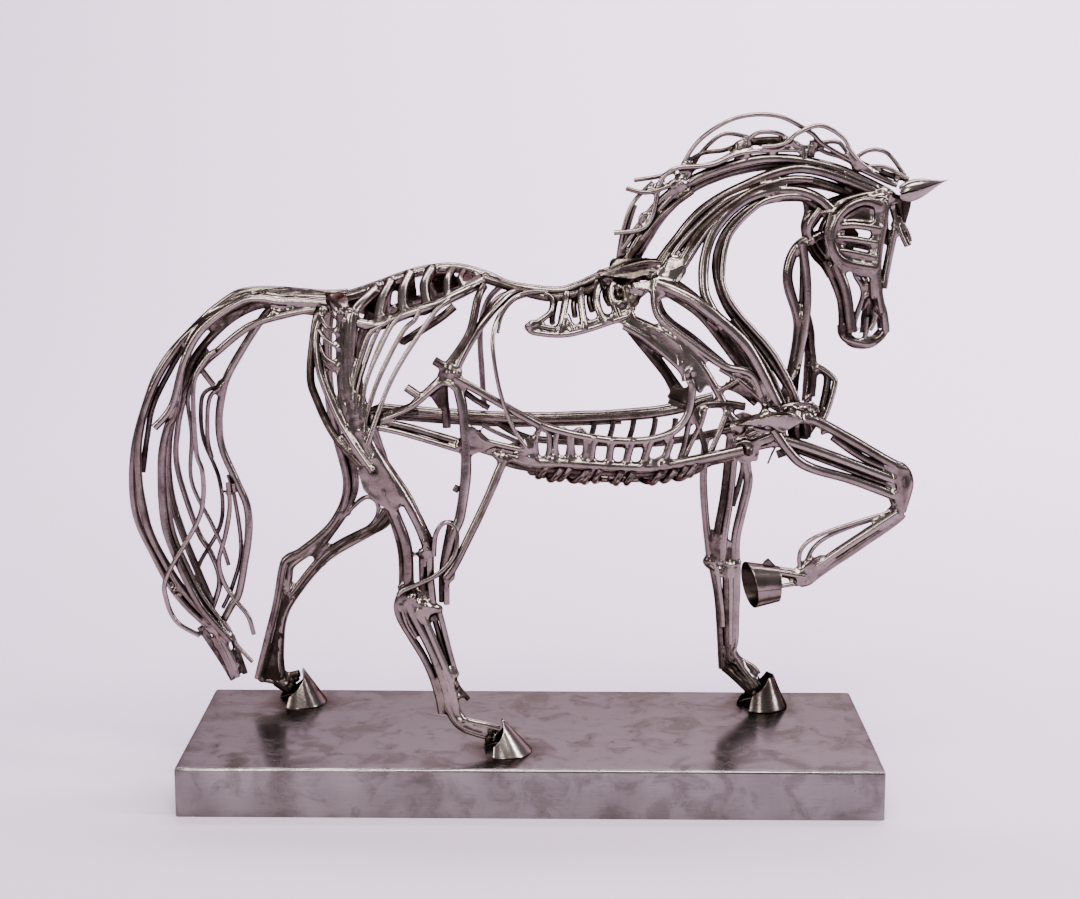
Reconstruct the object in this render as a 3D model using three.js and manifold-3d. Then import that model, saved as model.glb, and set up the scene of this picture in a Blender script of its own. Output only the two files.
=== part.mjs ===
// Horse sculpture welded from bent steel rod, with sheet-metal hooves and ears, on a folded sheet plinth.
// Units are mm. X runs along the plinth towards the head, -Y is the near side, Z is up, 0 is the underside.
// Rods that are welded side by side are one body. Neighbouring bodies are parted by a small fixed gap.
import * as THREE from 'three';
import { mergeVertices } from 'three/addons/utils/BufferGeometryUtils.js';
import Module from 'manifold-3d';

const wasm = await Module();
wasm.setup();

// Driving dimensions
const PLINTH_LENGTH = 500;
const PLINTH_WIDTH = 180;
const PLINTH_HEIGHT = 36;
const SHEET = 3;
const GAP = 0.3;
const FLOOR = PLINTH_HEIGHT + GAP;

// Rod gauges
const WIRE = 3.4;
const THIN = 4.2;
const ROD = 5.4;
const HEAVY = 7;

// Depths of the horse's sides, from its middle plane
const HIP = 35;
const BARREL = 42;

// A four-sided bar whose section has the area of the round rod that it stands for
const SECTION_SIDES = 4;
const CORNER = Math.sqrt(Math.PI / 2);

// The most that one straight length of a bent rod may turn, in degrees
const TURN = 30;

const STEEL = { color: 0x8c8282, metalness: 0.9, roughness: 0.4 };
const BRIGHT = { color: 0xb9b0ae, metalness: 0.95, roughness: 0.28 };
const DARK = { color: 0x4a4040, metalness: 0.85, roughness: 0.55 };
const SHEET_STEEL = { color: 0x7d7374, metalness: 0.9, roughness: 0.45 };

// Turns a closed three geometry into a manifold solid.
function solidOf(geometry) {
  geometry.deleteAttribute('normal');
  geometry.deleteAttribute('uv');
  const welded = mergeVertices(geometry, 1e-4);
  const mesh = new wasm.Mesh({
    numProp: 3,
    vertProperties: new Float32Array(welded.attributes.position.array),
    triVerts: new Uint32Array(welded.index.array),
  });
  return new wasm.Manifold(mesh);
}

// Gives each [x, z] pair of an outline the depth y.
function at(y, pairs) {
  return pairs.map(([x, z]) => [x, y, z]);
}

// How many straight lengths follow a bent rod closely enough.
function stepsAlong(bends) {
  let turned = 0;
  for (let i = 2; i < bends.length; i += 1) {
    const before = bends[i - 1].clone().sub(bends[i - 2]);
    const after = bends[i].clone().sub(bends[i - 1]);
    turned += THREE.MathUtils.radToDeg(before.angleTo(after));
  }
  return Math.min(bends.length - 1, Math.max(Math.ceil(bends.length / 4), Math.ceil(turned / TURN)));
}

// A bent rod through its bend points. Growing it thickens it and lengthens both ends.
function rod(diameter, points) {
  return (grow) => {
    const bends = points.map((p) => new THREE.Vector3(...p));
    const last = bends.length - 1;
    const head = bends[0].clone().sub(bends[1]).setLength(grow);
    const tail = bends[last].clone().sub(bends[last - 1]).setLength(grow);
    bends[0].add(head);
    bends[last].add(tail);
    const path = new THREE.CatmullRomCurve3(bends, false, 'centripetal');
    const radius = (CORNER * diameter) / 2 + 1.5 * grow;
    const section = [];
    for (let i = 0; i < SECTION_SIDES; i += 1) {
      const angle = (2 * Math.PI * i) / SECTION_SIDES;
      section.push(new THREE.Vector2(radius * Math.cos(angle), radius * Math.sin(angle)));
    }
    const settings = { steps: stepsAlong(bends), bevelEnabled: false, extrudePath: path };
    return solidOf(new THREE.ExtrudeGeometry(new THREE.Shape(section), settings));
  };
}

// A weld lump.
function bead(radius, x, y, z) {
  return (grow) => {
    const ball = new THREE.OctahedronGeometry(CORNER * radius + 1.7 * grow, 0);
    ball.translate(x, y, z);
    return solidOf(ball);
  };
}

// A flat plate that faces the side, cut to an outline of [x, z] corners and centred on the depth y.
function plate(y, thickness, outline) {
  return (grow) => {
    const centre = new THREE.Vector2();
    outline.forEach((p) => centre.add(new THREE.Vector2(...p).divideScalar(outline.length)));
    const corners = outline.map((p) => {
      const away = new THREE.Vector2(...p).sub(centre);
      return away.setLength(away.length() + grow).add(centre);
    });
    const depth = thickness + 2 * grow;
    const body = new THREE.ExtrudeGeometry(new THREE.Shape(corners), { depth, bevelEnabled: false });
    body.rotateX(Math.PI / 2);
    body.translate(0, y + depth / 2, 0);
    return solidOf(body);
  };
}

// A conical sheet between two rings, open along part of its round when span is under a full turn.
// Each ring is a centre with two radius vectors; angle 0 lies along the first of them.
function coneSheet(lower, upper, thickness, span, sides) {
  return (grow) => {
    const whole = span >= 360;
    const columns = whole ? sides : sides + 1;
    const half = (Math.PI * span) / 360;
    const point = (ring, angle, inset) => {
      const u = ring.u.clone().setLength(Math.max(ring.u.length() - inset, 0.05));
      const v = ring.v.clone().setLength(Math.max(ring.v.length() - inset, 0.05));
      return ring.centre.clone().addScaledVector(u, Math.cos(angle)).addScaledVector(v, Math.sin(angle));
    };
    const rise = upper.centre.clone().sub(lower.centre).setLength(grow);
    const positions = [];
    for (let i = 0; i < columns; i += 1) {
      const angle = -half + (2 * half * i) / sides;
      const corners = [
        point(lower, angle, -grow).sub(rise),
        point(upper, angle, -grow).add(rise),
        point(upper, angle, thickness + grow).add(rise),
        point(lower, angle, thickness + grow).sub(rise),
      ];
      corners.forEach((c) => positions.push(c.x, c.y, c.z));
    }
    const index = [];
    const quad = (a, b, c, d) => index.push(a, b, c, a, c, d);
    for (let i = 0; i < sides; i += 1) {
      const a = i * 4;
      const b = ((i + 1) % columns) * 4;
      for (let k = 0; k < 4; k += 1) {
        quad(a + k, b + k, b + ((k + 1) % 4), a + ((k + 1) % 4));
      }
    }
    if (!whole) {
      const e = sides * 4;
      quad(0, 1, 2, 3);
      quad(e + 3, e + 2, e + 1, e);
    }
    const sheet = new THREE.BufferGeometry();
    sheet.setAttribute('position', new THREE.Float32BufferAttribute(positions, 3));
    sheet.setIndex(index);
    return solidOf(sheet);
  };
}

function ring(x, y, z, u, v) {
  return { centre: new THREE.Vector3(x, y, z), u: new THREE.Vector3(...u), v: new THREE.Vector3(...v) };
}

// Plinth: a folded sheet box, open below
function plinth() {
  return (grow) => {
    const [length, width, height] = [PLINTH_LENGTH, PLINTH_WIDTH, PLINTH_HEIGHT].map((d) => d + 2 * grow);
    const outer = new THREE.BoxGeometry(length, width, height);
    outer.translate(0, 0, PLINTH_HEIGHT / 2);
    if (grow > 0) {
      return solidOf(outer);
    }
    const hollow = new THREE.BoxGeometry(length - 2 * SHEET, width - 2 * SHEET, height);
    hollow.translate(0, 0, PLINTH_HEIGHT / 2 - SHEET);
    return solidOf(outer).subtract(solidOf(hollow));
  };
}

// A standing hoof: a sheet cone open at the heel, with a small crown plate under the pastern rods.
function standingHoof(x, y, radius, crown) {
  const sole = ring(x, y, FLOOR, [radius, 0, 0], [0, radius, 0]);
  const top = ring(x + crown.x, y, crown.z, [7, 0, -2], [0, 7.5, 0]);
  const cap = rod(11.5, [[x + crown.x, y, crown.z - 1.5], [x + crown.x + 0.4, y, crown.z + 1]]);
  return [coneSheet(sole, top, 1.8, 290, 9), cap];
}

// The raised hoof: a sheet bucket whose mouth faces backwards.
function raisedHoof() {
  const sole = ring(155, -35, 156, [3.5, 15, 3], [1.5, -4, 15.5]);
  const crown = ring(175, -35, 157, [1, 10, 0.5], [1.5, -1, 10]);
  const fin = plate(-35, 3, [[159, 168], [165, 174], [172, 166], [168, 163]]);
  const back = rod(15, [[174.4, -35, 157], [177, -35, 157]]);
  return [coneSheet(sole, crown, 1.8, 360, 9), back, fin];
}

// Ears: solid-tipped cones of folded sheet
function nearEar() {
  const root = ring(263, -10, 435, [0, 5, 0], [0, 0, 6.5]);
  const tip = ring(288, -13, 442, [0, 0.8, 0], [0, 0, 0.8]);
  return [coneSheet(root, tip, 4.8, 360, 8)];
}

function farEar() {
  const root = ring(260, 9, 429, [0, 5, 0], [7, 0, 0]);
  const tip = ring(263, 11, 408, [0, 1, 0], [1, 0, 0]);
  return [coneSheet(root, tip, 4.9, 360, 8)];
}

// Tail
function tailOuter() {
  return [
    rod(ROD, [[-176, 0, 361], [-200, 0, 362], [-224, 0, 351], [-240, 1, 335], [-266, 2, 308], [-283, 3, 268],
      [-290, 3, 222], [-284, 2, 182], [-262, 0, 139], [-244, -1, 119], [-225, -2, 104]]),
    rod(ROD, [[-241, -3, 333], [-266, -5, 306], [-279, -6, 276], [-285, -5, 243], [-284, -5, 207],
      [-276, -4, 177], [-260, -3, 148], [-243, -3, 126], [-222, -3, 108]]),
  ];
}

function tailMiddle() {
  return [
    rod(ROD, [[-178, -8, 357], [-209, -8, 353], [-226, -9, 343], [-242, -10, 325], [-251, -11, 302],
      [-258, -11, 280], [-271, -11, 264]]),
    rod(ROD, [[-258, -11, 278], [-265, -10, 253], [-268, -10, 228], [-267, -10, 200], [-257, -9, 164],
      [-243, -9, 133], [-226, -8, 108], [-217, -5, 76]]),
    rod(THIN, [[-241, -9, 318], [-255, -9, 274], [-259, -8, 245], [-253, -8, 204], [-236, -8, 167],
      [-231, -8, 137], [-238, -9, 122]]),
  ];
}

function tailInner() {
  return [
    rod(ROD, [[-186, 5, 352], [-198, 4, 336], [-215, 3, 309], [-226, 3, 279], [-225, 3, 246], [-210, 3, 211],
      [-207, 2, 191], [-210, 2, 165], [-220, 1, 131]]),
    rod(WIRE, [[-226, 4, 294], [-239, 5, 281], [-239, 5, 253], [-226, 5, 220], [-226, 4, 202], [-238, 4, 170],
      [-247, 4, 148], [-239, 5, 122], [-224, 4, 113]]),
    rod(WIRE, [[-222, 3, 208], [-224, 4, 182], [-229, 3, 160], [-221, 3, 137], [-208, 1, 119],
      [-205, 0, 107]]),
    rod(ROD, [[-221, 0, 134], [-232, 5, 106], [-229, 5, 90], [-220, 4, 74]]),
  ];
}

function tailWire() {
  return [
    rod(WIRE, [[-231, -16, 318], [-242, -17, 291], [-241, -17, 248], [-237, -17, 212], [-256, -17, 172],
      [-266, -17, 146], [-262, -16, 124], [-243, -15, 109]]),
  ];
}

// Back and rump
function spine() {
  return [
    rod(HEAVY, [[-176, 0, 357], [-150, 0, 359], [-130, 0, 360], [-110, 0, 366], [-90, 0, 373], [-70, 0, 378],
      [-50, 0, 378], [-33, 0, 373], [-12, 0, 365], [8, 0, 362], [30, 0, 365], [56, 0, 376], [80, 0, 381],
      [94, 0, 380]]),
    rod(ROD, [[-33, -5, 371], [0, -6, 361], [30, -7, 361], [60, -7, 367], [94, -8, 374]]),
  ];
}

function rumpGrille(side) {
  const rail = at(side * HIP, [[-133, 347], [-108, 342], [-88, 350], [-65, 357], [-42, 365]]);
  const slats = [[-128, 347, -114, 362], [-108, 343, -102, 367], [-91, 349, -88, 372], [-66, 357, -69, 377]];
  const bars = slats.map(([x0, z0, x1, z1]) => rod(THIN, [[x0, side * HIP, z0], [(x0 + x1) / 2, side * 22,
    (z0 + z1) / 2 + 5], [x1, side * 5, z1]]));
  const crest = at(side * 7, [[-128, 358], [-102, 367], [-69, 377], [-46, 375]]);
  const end = rod(ROD, [[-42, side * HIP, 365], [-38, side * 22, 373], [-42, side * 7, 375]]);
  return [rod(ROD, rail), rod(ROD, crest), end, ...bars];
}

// Near haunch: hip posts and buttock rods that run into the thigh plate
function haunchNear() {
  const rungs = [345, 337, 327, 320].map((z) => rod(WIRE, [[-150, -30, z + 1], [-143, -36, z - 4],
    [-136, -36, z - 9]]));
  return [
    rod(HEAVY, [[-136, -36, 347], [-137, -36, 300], [-133, -38, 282], [-122, -42, 262]]),
    rod(HEAVY + 1, [[-126, -36, 341], [-127, -37, 320], [-126, -38, 298], [-121, -41, 275],
      [-113, -45, 257]]),
    rod(ROD, [[-152, -22, 347], [-155, -28, 325], [-155, -32, 303], [-149, -35, 282], [-136, -40, 262],
      [-119, -45, 242]]),
    rod(ROD, [[-149, -28, 344], [-151, -31, 325], [-147, -34, 303], [-141, -37, 288], [-130, -40, 268],
      [-114, -45, 245]]),
    bead(5, -133, -37, 340),
    bead(5, -126, -41, 264),
    bead(4.5, -151, -31, 318),
    bead(5, -138, -40, 268),
    ...rungs,
  ];
}

function thighPlate() {
  return [
    plate(-46, 4, [[-122, 250], [-108, 254], [-92, 224], [-88, 212], [-98, 211], [-106, 214], [-117, 225]]),
    rod(HEAVY + 1, [[-110, -47, 254], [-103, -47, 241], [-91, -48, 223], [-83, -48, 208], [-77, -48, 195],
      [-73, -48, 184]]),
    rod(HEAVY, [[-100, -47, 222], [-95, -47, 210], [-90, -48, 193], [-88, -48, 175], [-87, -48, 158]]),
  ];
}

function haunchFar() {
  return [
    rod(HEAVY, [[-148, 22, 347], [-155, 36, 310], [-155, 48, 270], [-146, 55, 240], [-138, 58, 214]]),
    rod(HEAVY, [[-128, 36, 342], [-132, 38, 300], [-126, 42, 268], [-118, 50, 235], [-112, 57, 205],
      [-108, 58, 188]]),
    rod(ROD, [[-153, 45, 280], [-140, 44, 274], [-124, 43, 266]]),
  ];
}

function thighRib(top, middle, foot) {
  return [rod(WIRE, [top, middle, foot])];
}

// Hind legs
function hockNear() {
  return [
    rod(ROD, [[-76, -46, 182], [-76, -46, 165], [-75, -47, 146]]),
    rod(ROD, [[-70.5, -49, 182], [-71, -49, 165], [-70, -48, 146]]),
    bead(5.4, -74, -48, 184),
    bead(5.6, -87, -48, 152),
    bead(6, -75, -48, 143),
    rod(ROD, [[-88, -48, 153], [-95, -48, 147], [-94, -48, 137], [-82, -49, 114], [-72, -49, 97],
      [-67, -49, 80], [-64, -49, 65]]),
    rod(HEAVY, [[-86, -50, 148], [-80, -50, 128], [-65, -50, 95], [-58, -50, 70], [-52, -50, 57],
      [-44, -50, 53], [-34, -50, 50]]),
    rod(HEAVY - 1, [[-78, -48, 143], [-71, -49, 125], [-59, -49, 93], [-53, -49, 67], [-46, -49, 60],
      [-32, -49, 55]]),
    rod(THIN, [[-66, -48, 141], [-61, -48, 124], [-55, -48, 98], [-53, -48, 88]]),
    rod(THIN, [[-56, -48, 90], [-51, -47, 82], [-46, -46, 74]]),
    bead(4.4, -54, -48, 92),
    bead(5, -71, -48, 142),
  ];
}

function hockWire() {
  return [
    rod(WIRE, [[-92, -55, 153], [-74, -55, 165], [-60, -55, 172], [-53, -55, 185], [-54, -55, 201],
      [-61, -55, 205], [-67, -55, 199], [-69, -53, 185]]),
  ];
}

function hockFar() {
  return [
    rod(HEAVY + 1, [[-139, 58, 205], [-145, 58, 187], [-165, 58, 163], [-188, 58, 148], [-192, 59, 128],
      [-203, 60, 85], [-208, 60, 56]]),
    rod(ROD, [[-134, 57, 206], [-140, 57, 190], [-156, 57, 167], [-167, 57, 152]]),
    rod(HEAVY + 1, [[-110, 57, 182], [-125, 57, 172], [-158, 58, 152], [-182, 58, 124], [-192, 59, 95],
      [-194, 60, 72], [-192, 60, 53]]),
    rod(WIRE, [[-140, 56, 186], [-134, 55, 195], [-125, 54, 199], [-118, 54, 194], [-118, 55, 184],
      [-126, 56, 174]]),
    plate(60, 3, [[-190, 118], [-187, 112], [-191, 70], [-192, 54], [-206, 54], [-200, 84]]),
    rod(HEAVY, [[-208, 60, 55], [-197, 60, 52], [-189, 60, 52], [-181, 60, 57]]),
  ];
}

// Flank, near side
function flankNear() {
  return [
    rod(ROD, [[-38, -38, 360], [-41, -41, 346], [-46, -42, 333], [-58, -43, 313]]),
    rod(ROD, [[-14, -12, 358], [-24, -26, 355], [-35, -36, 343], [-46, -41, 326], [-54, -43, 306]]),
    rod(ROD, [[-68, -45, 319], [-55, -43, 309]]),
    rod(HEAVY, [[-54, -43, 306], [-49, -44, 285], [-46, -46, 250], [-46, -47, 232], [-49, -48, 212],
      [-55, -50, 194], [-60, -50, 175], [-61, -50, 147]]),
    rod(ROD, [[-54, -44, 306], [-28, -45, 291], [-12, -45, 283], [-1, -45, 277]]),
    plate(-44, 3, [[-47, 274], [-38, 271], [-27, 259], [-36, 255], [-47, 253]]),
    rod(ROD, [[-112, -42, 273], [-100, -42, 279], [-88, -42, 284], [-72, -43, 296], [-56, -44, 309]]),
    rod(ROD, [[-87, -42, 299], [-75, -42, 291]]),
    rod(ROD, [[-112, -42, 273], [-72, -42, 266], [-48, -42, 259], [-20, -42, 251]]),
    rod(THIN, [[-38, -44, 266], [-27, -44, 260], [-8, -43, 255]]),
  ];
}

function gaskinNear() {
  return [
    rod(ROD, [[-20, -44, 246], [-28, -46, 230], [-38, -49, 207], [-48, -52, 187], [-56, -55, 171],
      [-60, -55, 160]]),
  ];
}

function ribNear() {
  return [
    rod(WIRE, [[2, -11, 358], [-8, -20, 359], [-20, -33, 352], [-27, -40, 335], [-26, -48, 308],
      [-21, -49, 290], [-14, -48, 272], [-6, -47, 261]]),
  ];
}

function ribFar() {
  return [
    rod(THIN, [[-24, 6, 367], [-33, 26, 350], [-39, 40, 318], [-38, 44, 290], [-36, 44, 269]]),
  ];
}

// Barrel: a ladder of short bars on each side, and a slatted keel
function ladderNear() {
  const rungs = [[44, 42], [57, 55], [71, 67], [83, 79], [97, 93]];
  const loops = [[2, 6], [14, 15], [22, 24], [33, 34]];
  const upper = at(-BARREL, [[0, 276], [12, 271], [30, 267], [52, 262], [75, 262], [95, 266], [106, 276],
    [111, 290], [111, 303]]);
  const lower = at(-BARREL, [[-7, 250], [10, 246], [40, 245], [62, 243], [95, 245], [125, 251], [150, 257],
    [170, 260]]);
  return [
    rod(ROD, upper),
    rod(HEAVY, lower),
    ...[...rungs, ...loops].map(([top, foot]) => rod(THIN, [[top, -BARREL, 264 + Math.max(0, 40 - top) / 4],
      [foot, -BARREL, 245]])),
    rod(ROD, [[-5, -BARREL, 250], [-1, -BARREL, 278]]),
  ];
}

function keel() {
  const ribs = [10, 26, 42, 58, 74, 90, 106];
  return [
    rod(ROD, [[2, 0, 227], [40, 0, 225], [75, 0, 226], [112, 0, 230]]),
    ...ribs.map((x) => rod(THIN, [[x + 4, -38, 240], [x, -20, 231], [x - 2, 2, 227]])),
  ];
}

function barFar() {
  const rungs = [46, 60, 76, 91];
  return [
    rod(HEAVY + 1, [[-108, 44, 267], [-54, 42, 264], [0, 42, 263], [42, 42, 264], [74, 42, 266],
      [95, 42, 268], [116, 41, 273], [134, 40, 279]]),
    rod(ROD, [[-20, 42, 262], [0, 42, 248], [30, 42, 244], [75, 42, 243], [110, 42, 246], [134, 42, 252]]),
    ...rungs.map((x) => rod(THIN, [[x, 42, 264], [x - 2, 42, 243]])),
  ];
}

// Short struts that cross behind the elbow
function elbowStruts() {
  return [
    rod(THIN, [[110, -37, 277], [108, -37, 262], [104, -37, 249]]),
    rod(THIN, [[120, -37, 277], [111, -37, 258], [106, -37, 248]]),
    rod(THIN, [[117, -37, 272], [123, -37, 254], [126, -37, 243]]),
    rod(THIN, [[136, -37, 280], [130, -37, 265], [124, -37, 243]]),
    rod(ROD, [[100, -37, 248], [112, -37, 244], [130, -37, 246]]),
  ];
}

// Withers and shoulder
function withersLadder() {
  const rungs = [[10, 6], [24, 26], [37, 39], [48, 54]];
  return [
    rod(THIN, [[-1, -25, 337], [15, -25, 335], [35, -25, 338], [58, -23, 345]]),
    rod(THIN, [[2, -14, 355], [30, -15, 356], [48, -15, 359], [62, -15, 363]]),
    ...rungs.map(([top, foot]) => rod(THIN, [[top, -14, 356], [foot, -25, 337]])),
  ];
}

function shoulderNear() {
  return [
    plate(-19, 5, [[84, 378], [104, 380], [103, 366], [92, 362], [78, 362]]),
    rod(HEAVY, [[92, -21, 368], [118, -28, 356], [135, -30, 343], [150, -31, 328], [160, -31, 313],
      [171, -31, 291]]),
    rod(ROD, [[84, -22, 364], [87, -24, 350], [100, -27, 338], [135, -30, 314], [152, -31, 309],
      [160, -31, 300], [163, -31, 291]]),
    rod(HEAVY, [[64, -22, 346], [85, -25, 338], [108, -29, 324], [120, -31, 311], [133, -33, 290],
      [142, -34, 276]]),
    plate(-30, 3, [[104, 327], [122, 318], [127, 300], [112, 296], [104, 310]]),
    rod(THIN, [[136, -31, 311], [150, -31, 299], [163, -31, 288]]),
  ];
}

function shoulderFar() {
  return [
    rod(HEAVY, [[66, 12, 350], [78, 20, 330], [96, 32, 304], [112, 40, 280]]),
    rod(HEAVY, [[94, 8, 370], [118, 24, 352], [142, 32, 325], [160, 34, 300], [168, 34, 284]]),
    rod(ROD, [[80, 22, 328], [104, 30, 318], [140, 34, 304], [164, 35, 290]]),
  ];
}

// Chest: elbow plates of both sides and the bars between them
function chest() {
  return [
    plate(-38, 4, [[136, 266], [150, 276], [165, 281], [186, 283], [196, 279], [180, 273], [170, 266],
      [156, 266], [144, 261]]),
    plate(0, 3, [[176, 276], [199, 276], [203, 270], [196, 258], [180, 262]]),
    plate(40, 4, [[140, 262], [156, 268], [170, 264], [160, 250], [146, 246]]),
    rod(ROD, [[160, -38, 277], [168, 0, 272], [166, 38, 262]]),
    rod(ROD, [[182, -38, 279], [186, 0, 274], [170, 34, 281]]),
    rod(ROD, [[182, -38, 279], [186, -20, 277], [188, 0, 274]]),
  ];
}

// Raised foreleg, near side
function forelegUpper() {
  return [
    rod(HEAVY, [[186, -35, 279], [205, -35, 272], [230, -35, 258], [252, -35, 245], [261, -35, 242],
      [265, -35, 235]]),
    rod(THIN, [[206, -34, 266], [228, -34, 252], [250, -34, 241], [260, -34, 238]]),
    rod(HEAVY, [[180, -35, 261], [200, -35, 256], [220, -35, 249], [240, -35, 241], [262, -35, 232]]),
    rod(HEAVY, [[170, -37, 269], [184, -37, 251], [203, -36, 239], [225, -35, 234], [248, -35, 225],
      [263, -35, 219]]),
    rod(HEAVY + 1, [[265, -35, 239], [266, -35, 227], [264, -35, 215], [259, -35, 209]]),
    rod(ROD, [[176, -36, 272], [179, -36, 266], [182, -36, 258]]),
  ];
}

function forelegLower() {
  return [
    rod(HEAVY + 2, [[255, -35, 205.5], [243, -35, 197], [228, -35, 187], [214, -35, 176], [203, -35, 167],
      [193, -35, 160]]),
    rod(WIRE, [[248, -35, 208], [235, -35, 204], [207, -35, 194], [194, -35, 186], [191, -35, 176],
      [193, -35, 165]]),
    plate(-35, 5, [[188, 160], [192, 168], [203, 177], [211, 178], [204, 164], [196, 156]]),
    rod(THIN, [[193, -35, 165], [180, -35, 166], [170, -35, 168.5]]),
    rod(THIN, [[193, -35, 160], [182, -35, 163], [172, -35, 165]]),
    rod(WIRE, [[192, -35, 158], [184, -35, 156], [173, -35, 154]]),
  ];
}

// Standing foreleg, far side
function forelegFarUpper() {
  return [
    rod(ROD, [[129, 52, 244], [129, 55, 205], [132, 55, 178], [135, 55, 150]]),
    rod(HEAVY, [[148, 50, 246], [147, 54, 215], [144, 55, 188], [143, 55, 150]]),
    rod(ROD, [[158, 50, 246], [160, 54, 208], [156, 55, 185], [154, 55, 150]]),
    rod(ROD, [[128, 51, 246], [148, 50, 247], [160, 50, 247]]),
    rod(HEAVY + 1, [[130, 55, 150], [143, 55, 150], [155, 55, 150]]),
  ];
}

function forelegFarLower() {
  return [
    rod(ROD, [[137, 55, 145], [141, 55, 120], [144, 55, 90], [146, 55, 66]]),
    rod(HEAVY, [[147, 55, 145], [148, 55, 120], [150, 55, 84], [155, 56, 70], [166, 57, 58]]),
    rod(HEAVY, [[154, 55, 145], [155, 55, 118], [155, 55, 84], [160, 56, 72], [171, 57, 63]]),
    rod(ROD, [[138, 55, 144], [154, 55, 144]]),
    rod(ROD, [[145, 55, 68], [152, 55, 72]]),
  ];
}

// Neck
function crest() {
  return [
    rod(HEAVY, [[68, -1, 386], [76, -1, 401], [87, -1, 417], [98, -1, 430], [112, -1, 441], [130, -1, 449],
      [155, -1, 455], [180, -1, 456], [200, -1, 453], [220, -1, 446], [243, -1, 436]]),
    rod(ROD, [[74, 4, 386], [82, 4, 402], [104, 4, 428], [118, 4, 437], [138, 4, 444], [160, 4, 450],
      [180, 4, 451], [205, 4, 447], [232, 4, 437]]),
    bead(5.4, 104, -1, 440),
    bead(5, 84, -1, 412),
    bead(5, 140, 1, 449),
  ];
}

function neckMiddle() {
  return [
    rod(HEAVY, [[92, -8, 383], [100, -8, 396], [111, -8, 411], [124, -8, 424], [140, -8, 433], [160, -8, 442],
      [185, -8, 447], [205, -8, 444], [222, -8, 438], [238, -8, 431]]),
    rod(HEAVY, [[103, -13, 382], [108, -12, 391], [117, -10, 404], [130, -8, 418], [146, -8, 429],
      [165, -8, 437], [185, -8, 440]]),
  ];
}

function neckFront() {
  return [
    rod(HEAVY, [[206, -8, 420], [195, -8, 430], [180, -8, 434], [163, -8, 432], [148, -9, 426],
      [134, -12, 415], [124, -16, 402], [119, -20, 388], [118, -24, 373], [121, -28, 360]]),
    rod(HEAVY, [[197, -8, 428], [175, -8, 431], [158, -9, 427], [142, -11, 415], [133, -14, 402],
      [129, -17, 388], [130, -20, 370], [138, -23, 354], [152, -24, 337], [169, -24, 318], [180, -23, 297],
      [186, -23, 285]]),
  ];
}

function throat() {
  return [
    rod(HEAVY, [[196, -3, 403], [188, -4, 398], [182, -4, 388], [181, -5, 374], [186, -5, 355],
      [190, -5, 336], [188, -5, 318], [183, -5, 298], [181, -5, 281]]),
    rod(ROD, [[190, -9, 398], [193, -9, 375], [194, -9, 350], [193, -8, 332], [189, -8, 310],
      [186, -8, 284]]),
    rod(HEAVY, [[193, -2, 345], [198, -2, 330], [198, -2, 312], [196, -2, 282]]),
  ];
}

function chestHook() {
  return [
    rod(ROD, [[201, -4, 305], [209, -5, 305], [215, -6, 300], [214, -7, 287], [209, -8, 275],
      [203, -9, 268]]),
  ];
}

// Mane
function maneWire(points, diameter = WIRE) {
  return [rod(diameter, points)];
}

// Head
function faceNear() {
  const y = -16;
  const ringPoints = at(y, [[240, 427], [230, 428], [220, 423], [212, 414], [210, 403], [213, 392],
    [221, 385], [232, 382], [240, 381]]);
  const slats = [[218, 417, 241, 414], [212, 408, 241, 404], [214, 400, 241, 396], [218, 393, 240, 388]];
  return [
    rod(ROD, ringPoints),
    plate(y, 4, [[240, 430], [246, 426], [246, 405], [244, 380], [243, 360], [239, 362], [239, 382],
      [239, 405]]),
    ...slats.map(([x0, z0, x1, z1]) => rod(THIN, [[x0, y, z0], [x1, y, z1]])),
    rod(ROD, at(y, [[207, 418], [206, 408], [209, 395], [215, 385], [221, 366], [225, 348], [226, 338]])),
    rod(ROD, at(y, [[243, 364], [248, 352], [250, 337]])),
    rod(THIN, at(y, [[233, 383], [232, 368], [233, 358], [229, 346], [231, 337]])),
    rod(ROD, [[226, y, 338], [232, y + 3, 330], [240, y + 4, 329], [250, y, 336]]),
    rod(THIN, at(y, [[208, 420], [212, 416]])),
  ];
}

function faceFar() {
  const y = 14;
  return [
    rod(ROD, at(y, [[240, 430], [222, 428], [206, 414], [198, 400], [203, 388], [212, 376], [217, 360],
      [219, 345], [220, 334]])),
    rod(ROD, at(y, [[240, 430], [252, 408], [250, 385], [246, 362], [249, 346], [250, 334]])),
    rod(ROD, [[220, y, 334], [230, y - 3, 325], [240, y - 3, 325], [250, y, 334]]),
    rod(THIN, at(y, [[202, 391], [226, 394], [251, 396]])),
    rod(THIN, at(y, [[216, 366], [232, 364], [247, 365]])),
  ];
}

function poll() {
  return [
    rod(HEAVY, [[211, -4, 427], [224, -3, 430], [240, -2, 430], [252, 0, 432]]),
    rod(ROD, [[246, -9, 431], [250, 0, 433], [246, 9, 430]]),
    rod(ROD, [[252, 0, 431], [257, -1, 408], [253, -1, 390], [250, -1, 370], [248, -2, 355]]),
  ];
}

function forelock() {
  return [
    rod(WIRE, [[258, 3, 424], [259, 1, 412], [266, 1, 395]]),
  ];
}

const RIB_TOPS = {
  a: [[-107, -39, 338], [-116, -41, 312], [-120, -47, 288]],
  b: [[-96, -39, 344], [-110, -41, 318], [-117, -48, 286]],
  c: [[-82, -39, 346], [-104, -41, 312], [-114, -49, 272]],
  d: [[-63, -39, 355], [-92, -41, 317], [-110, -50, 264]],
};

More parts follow.
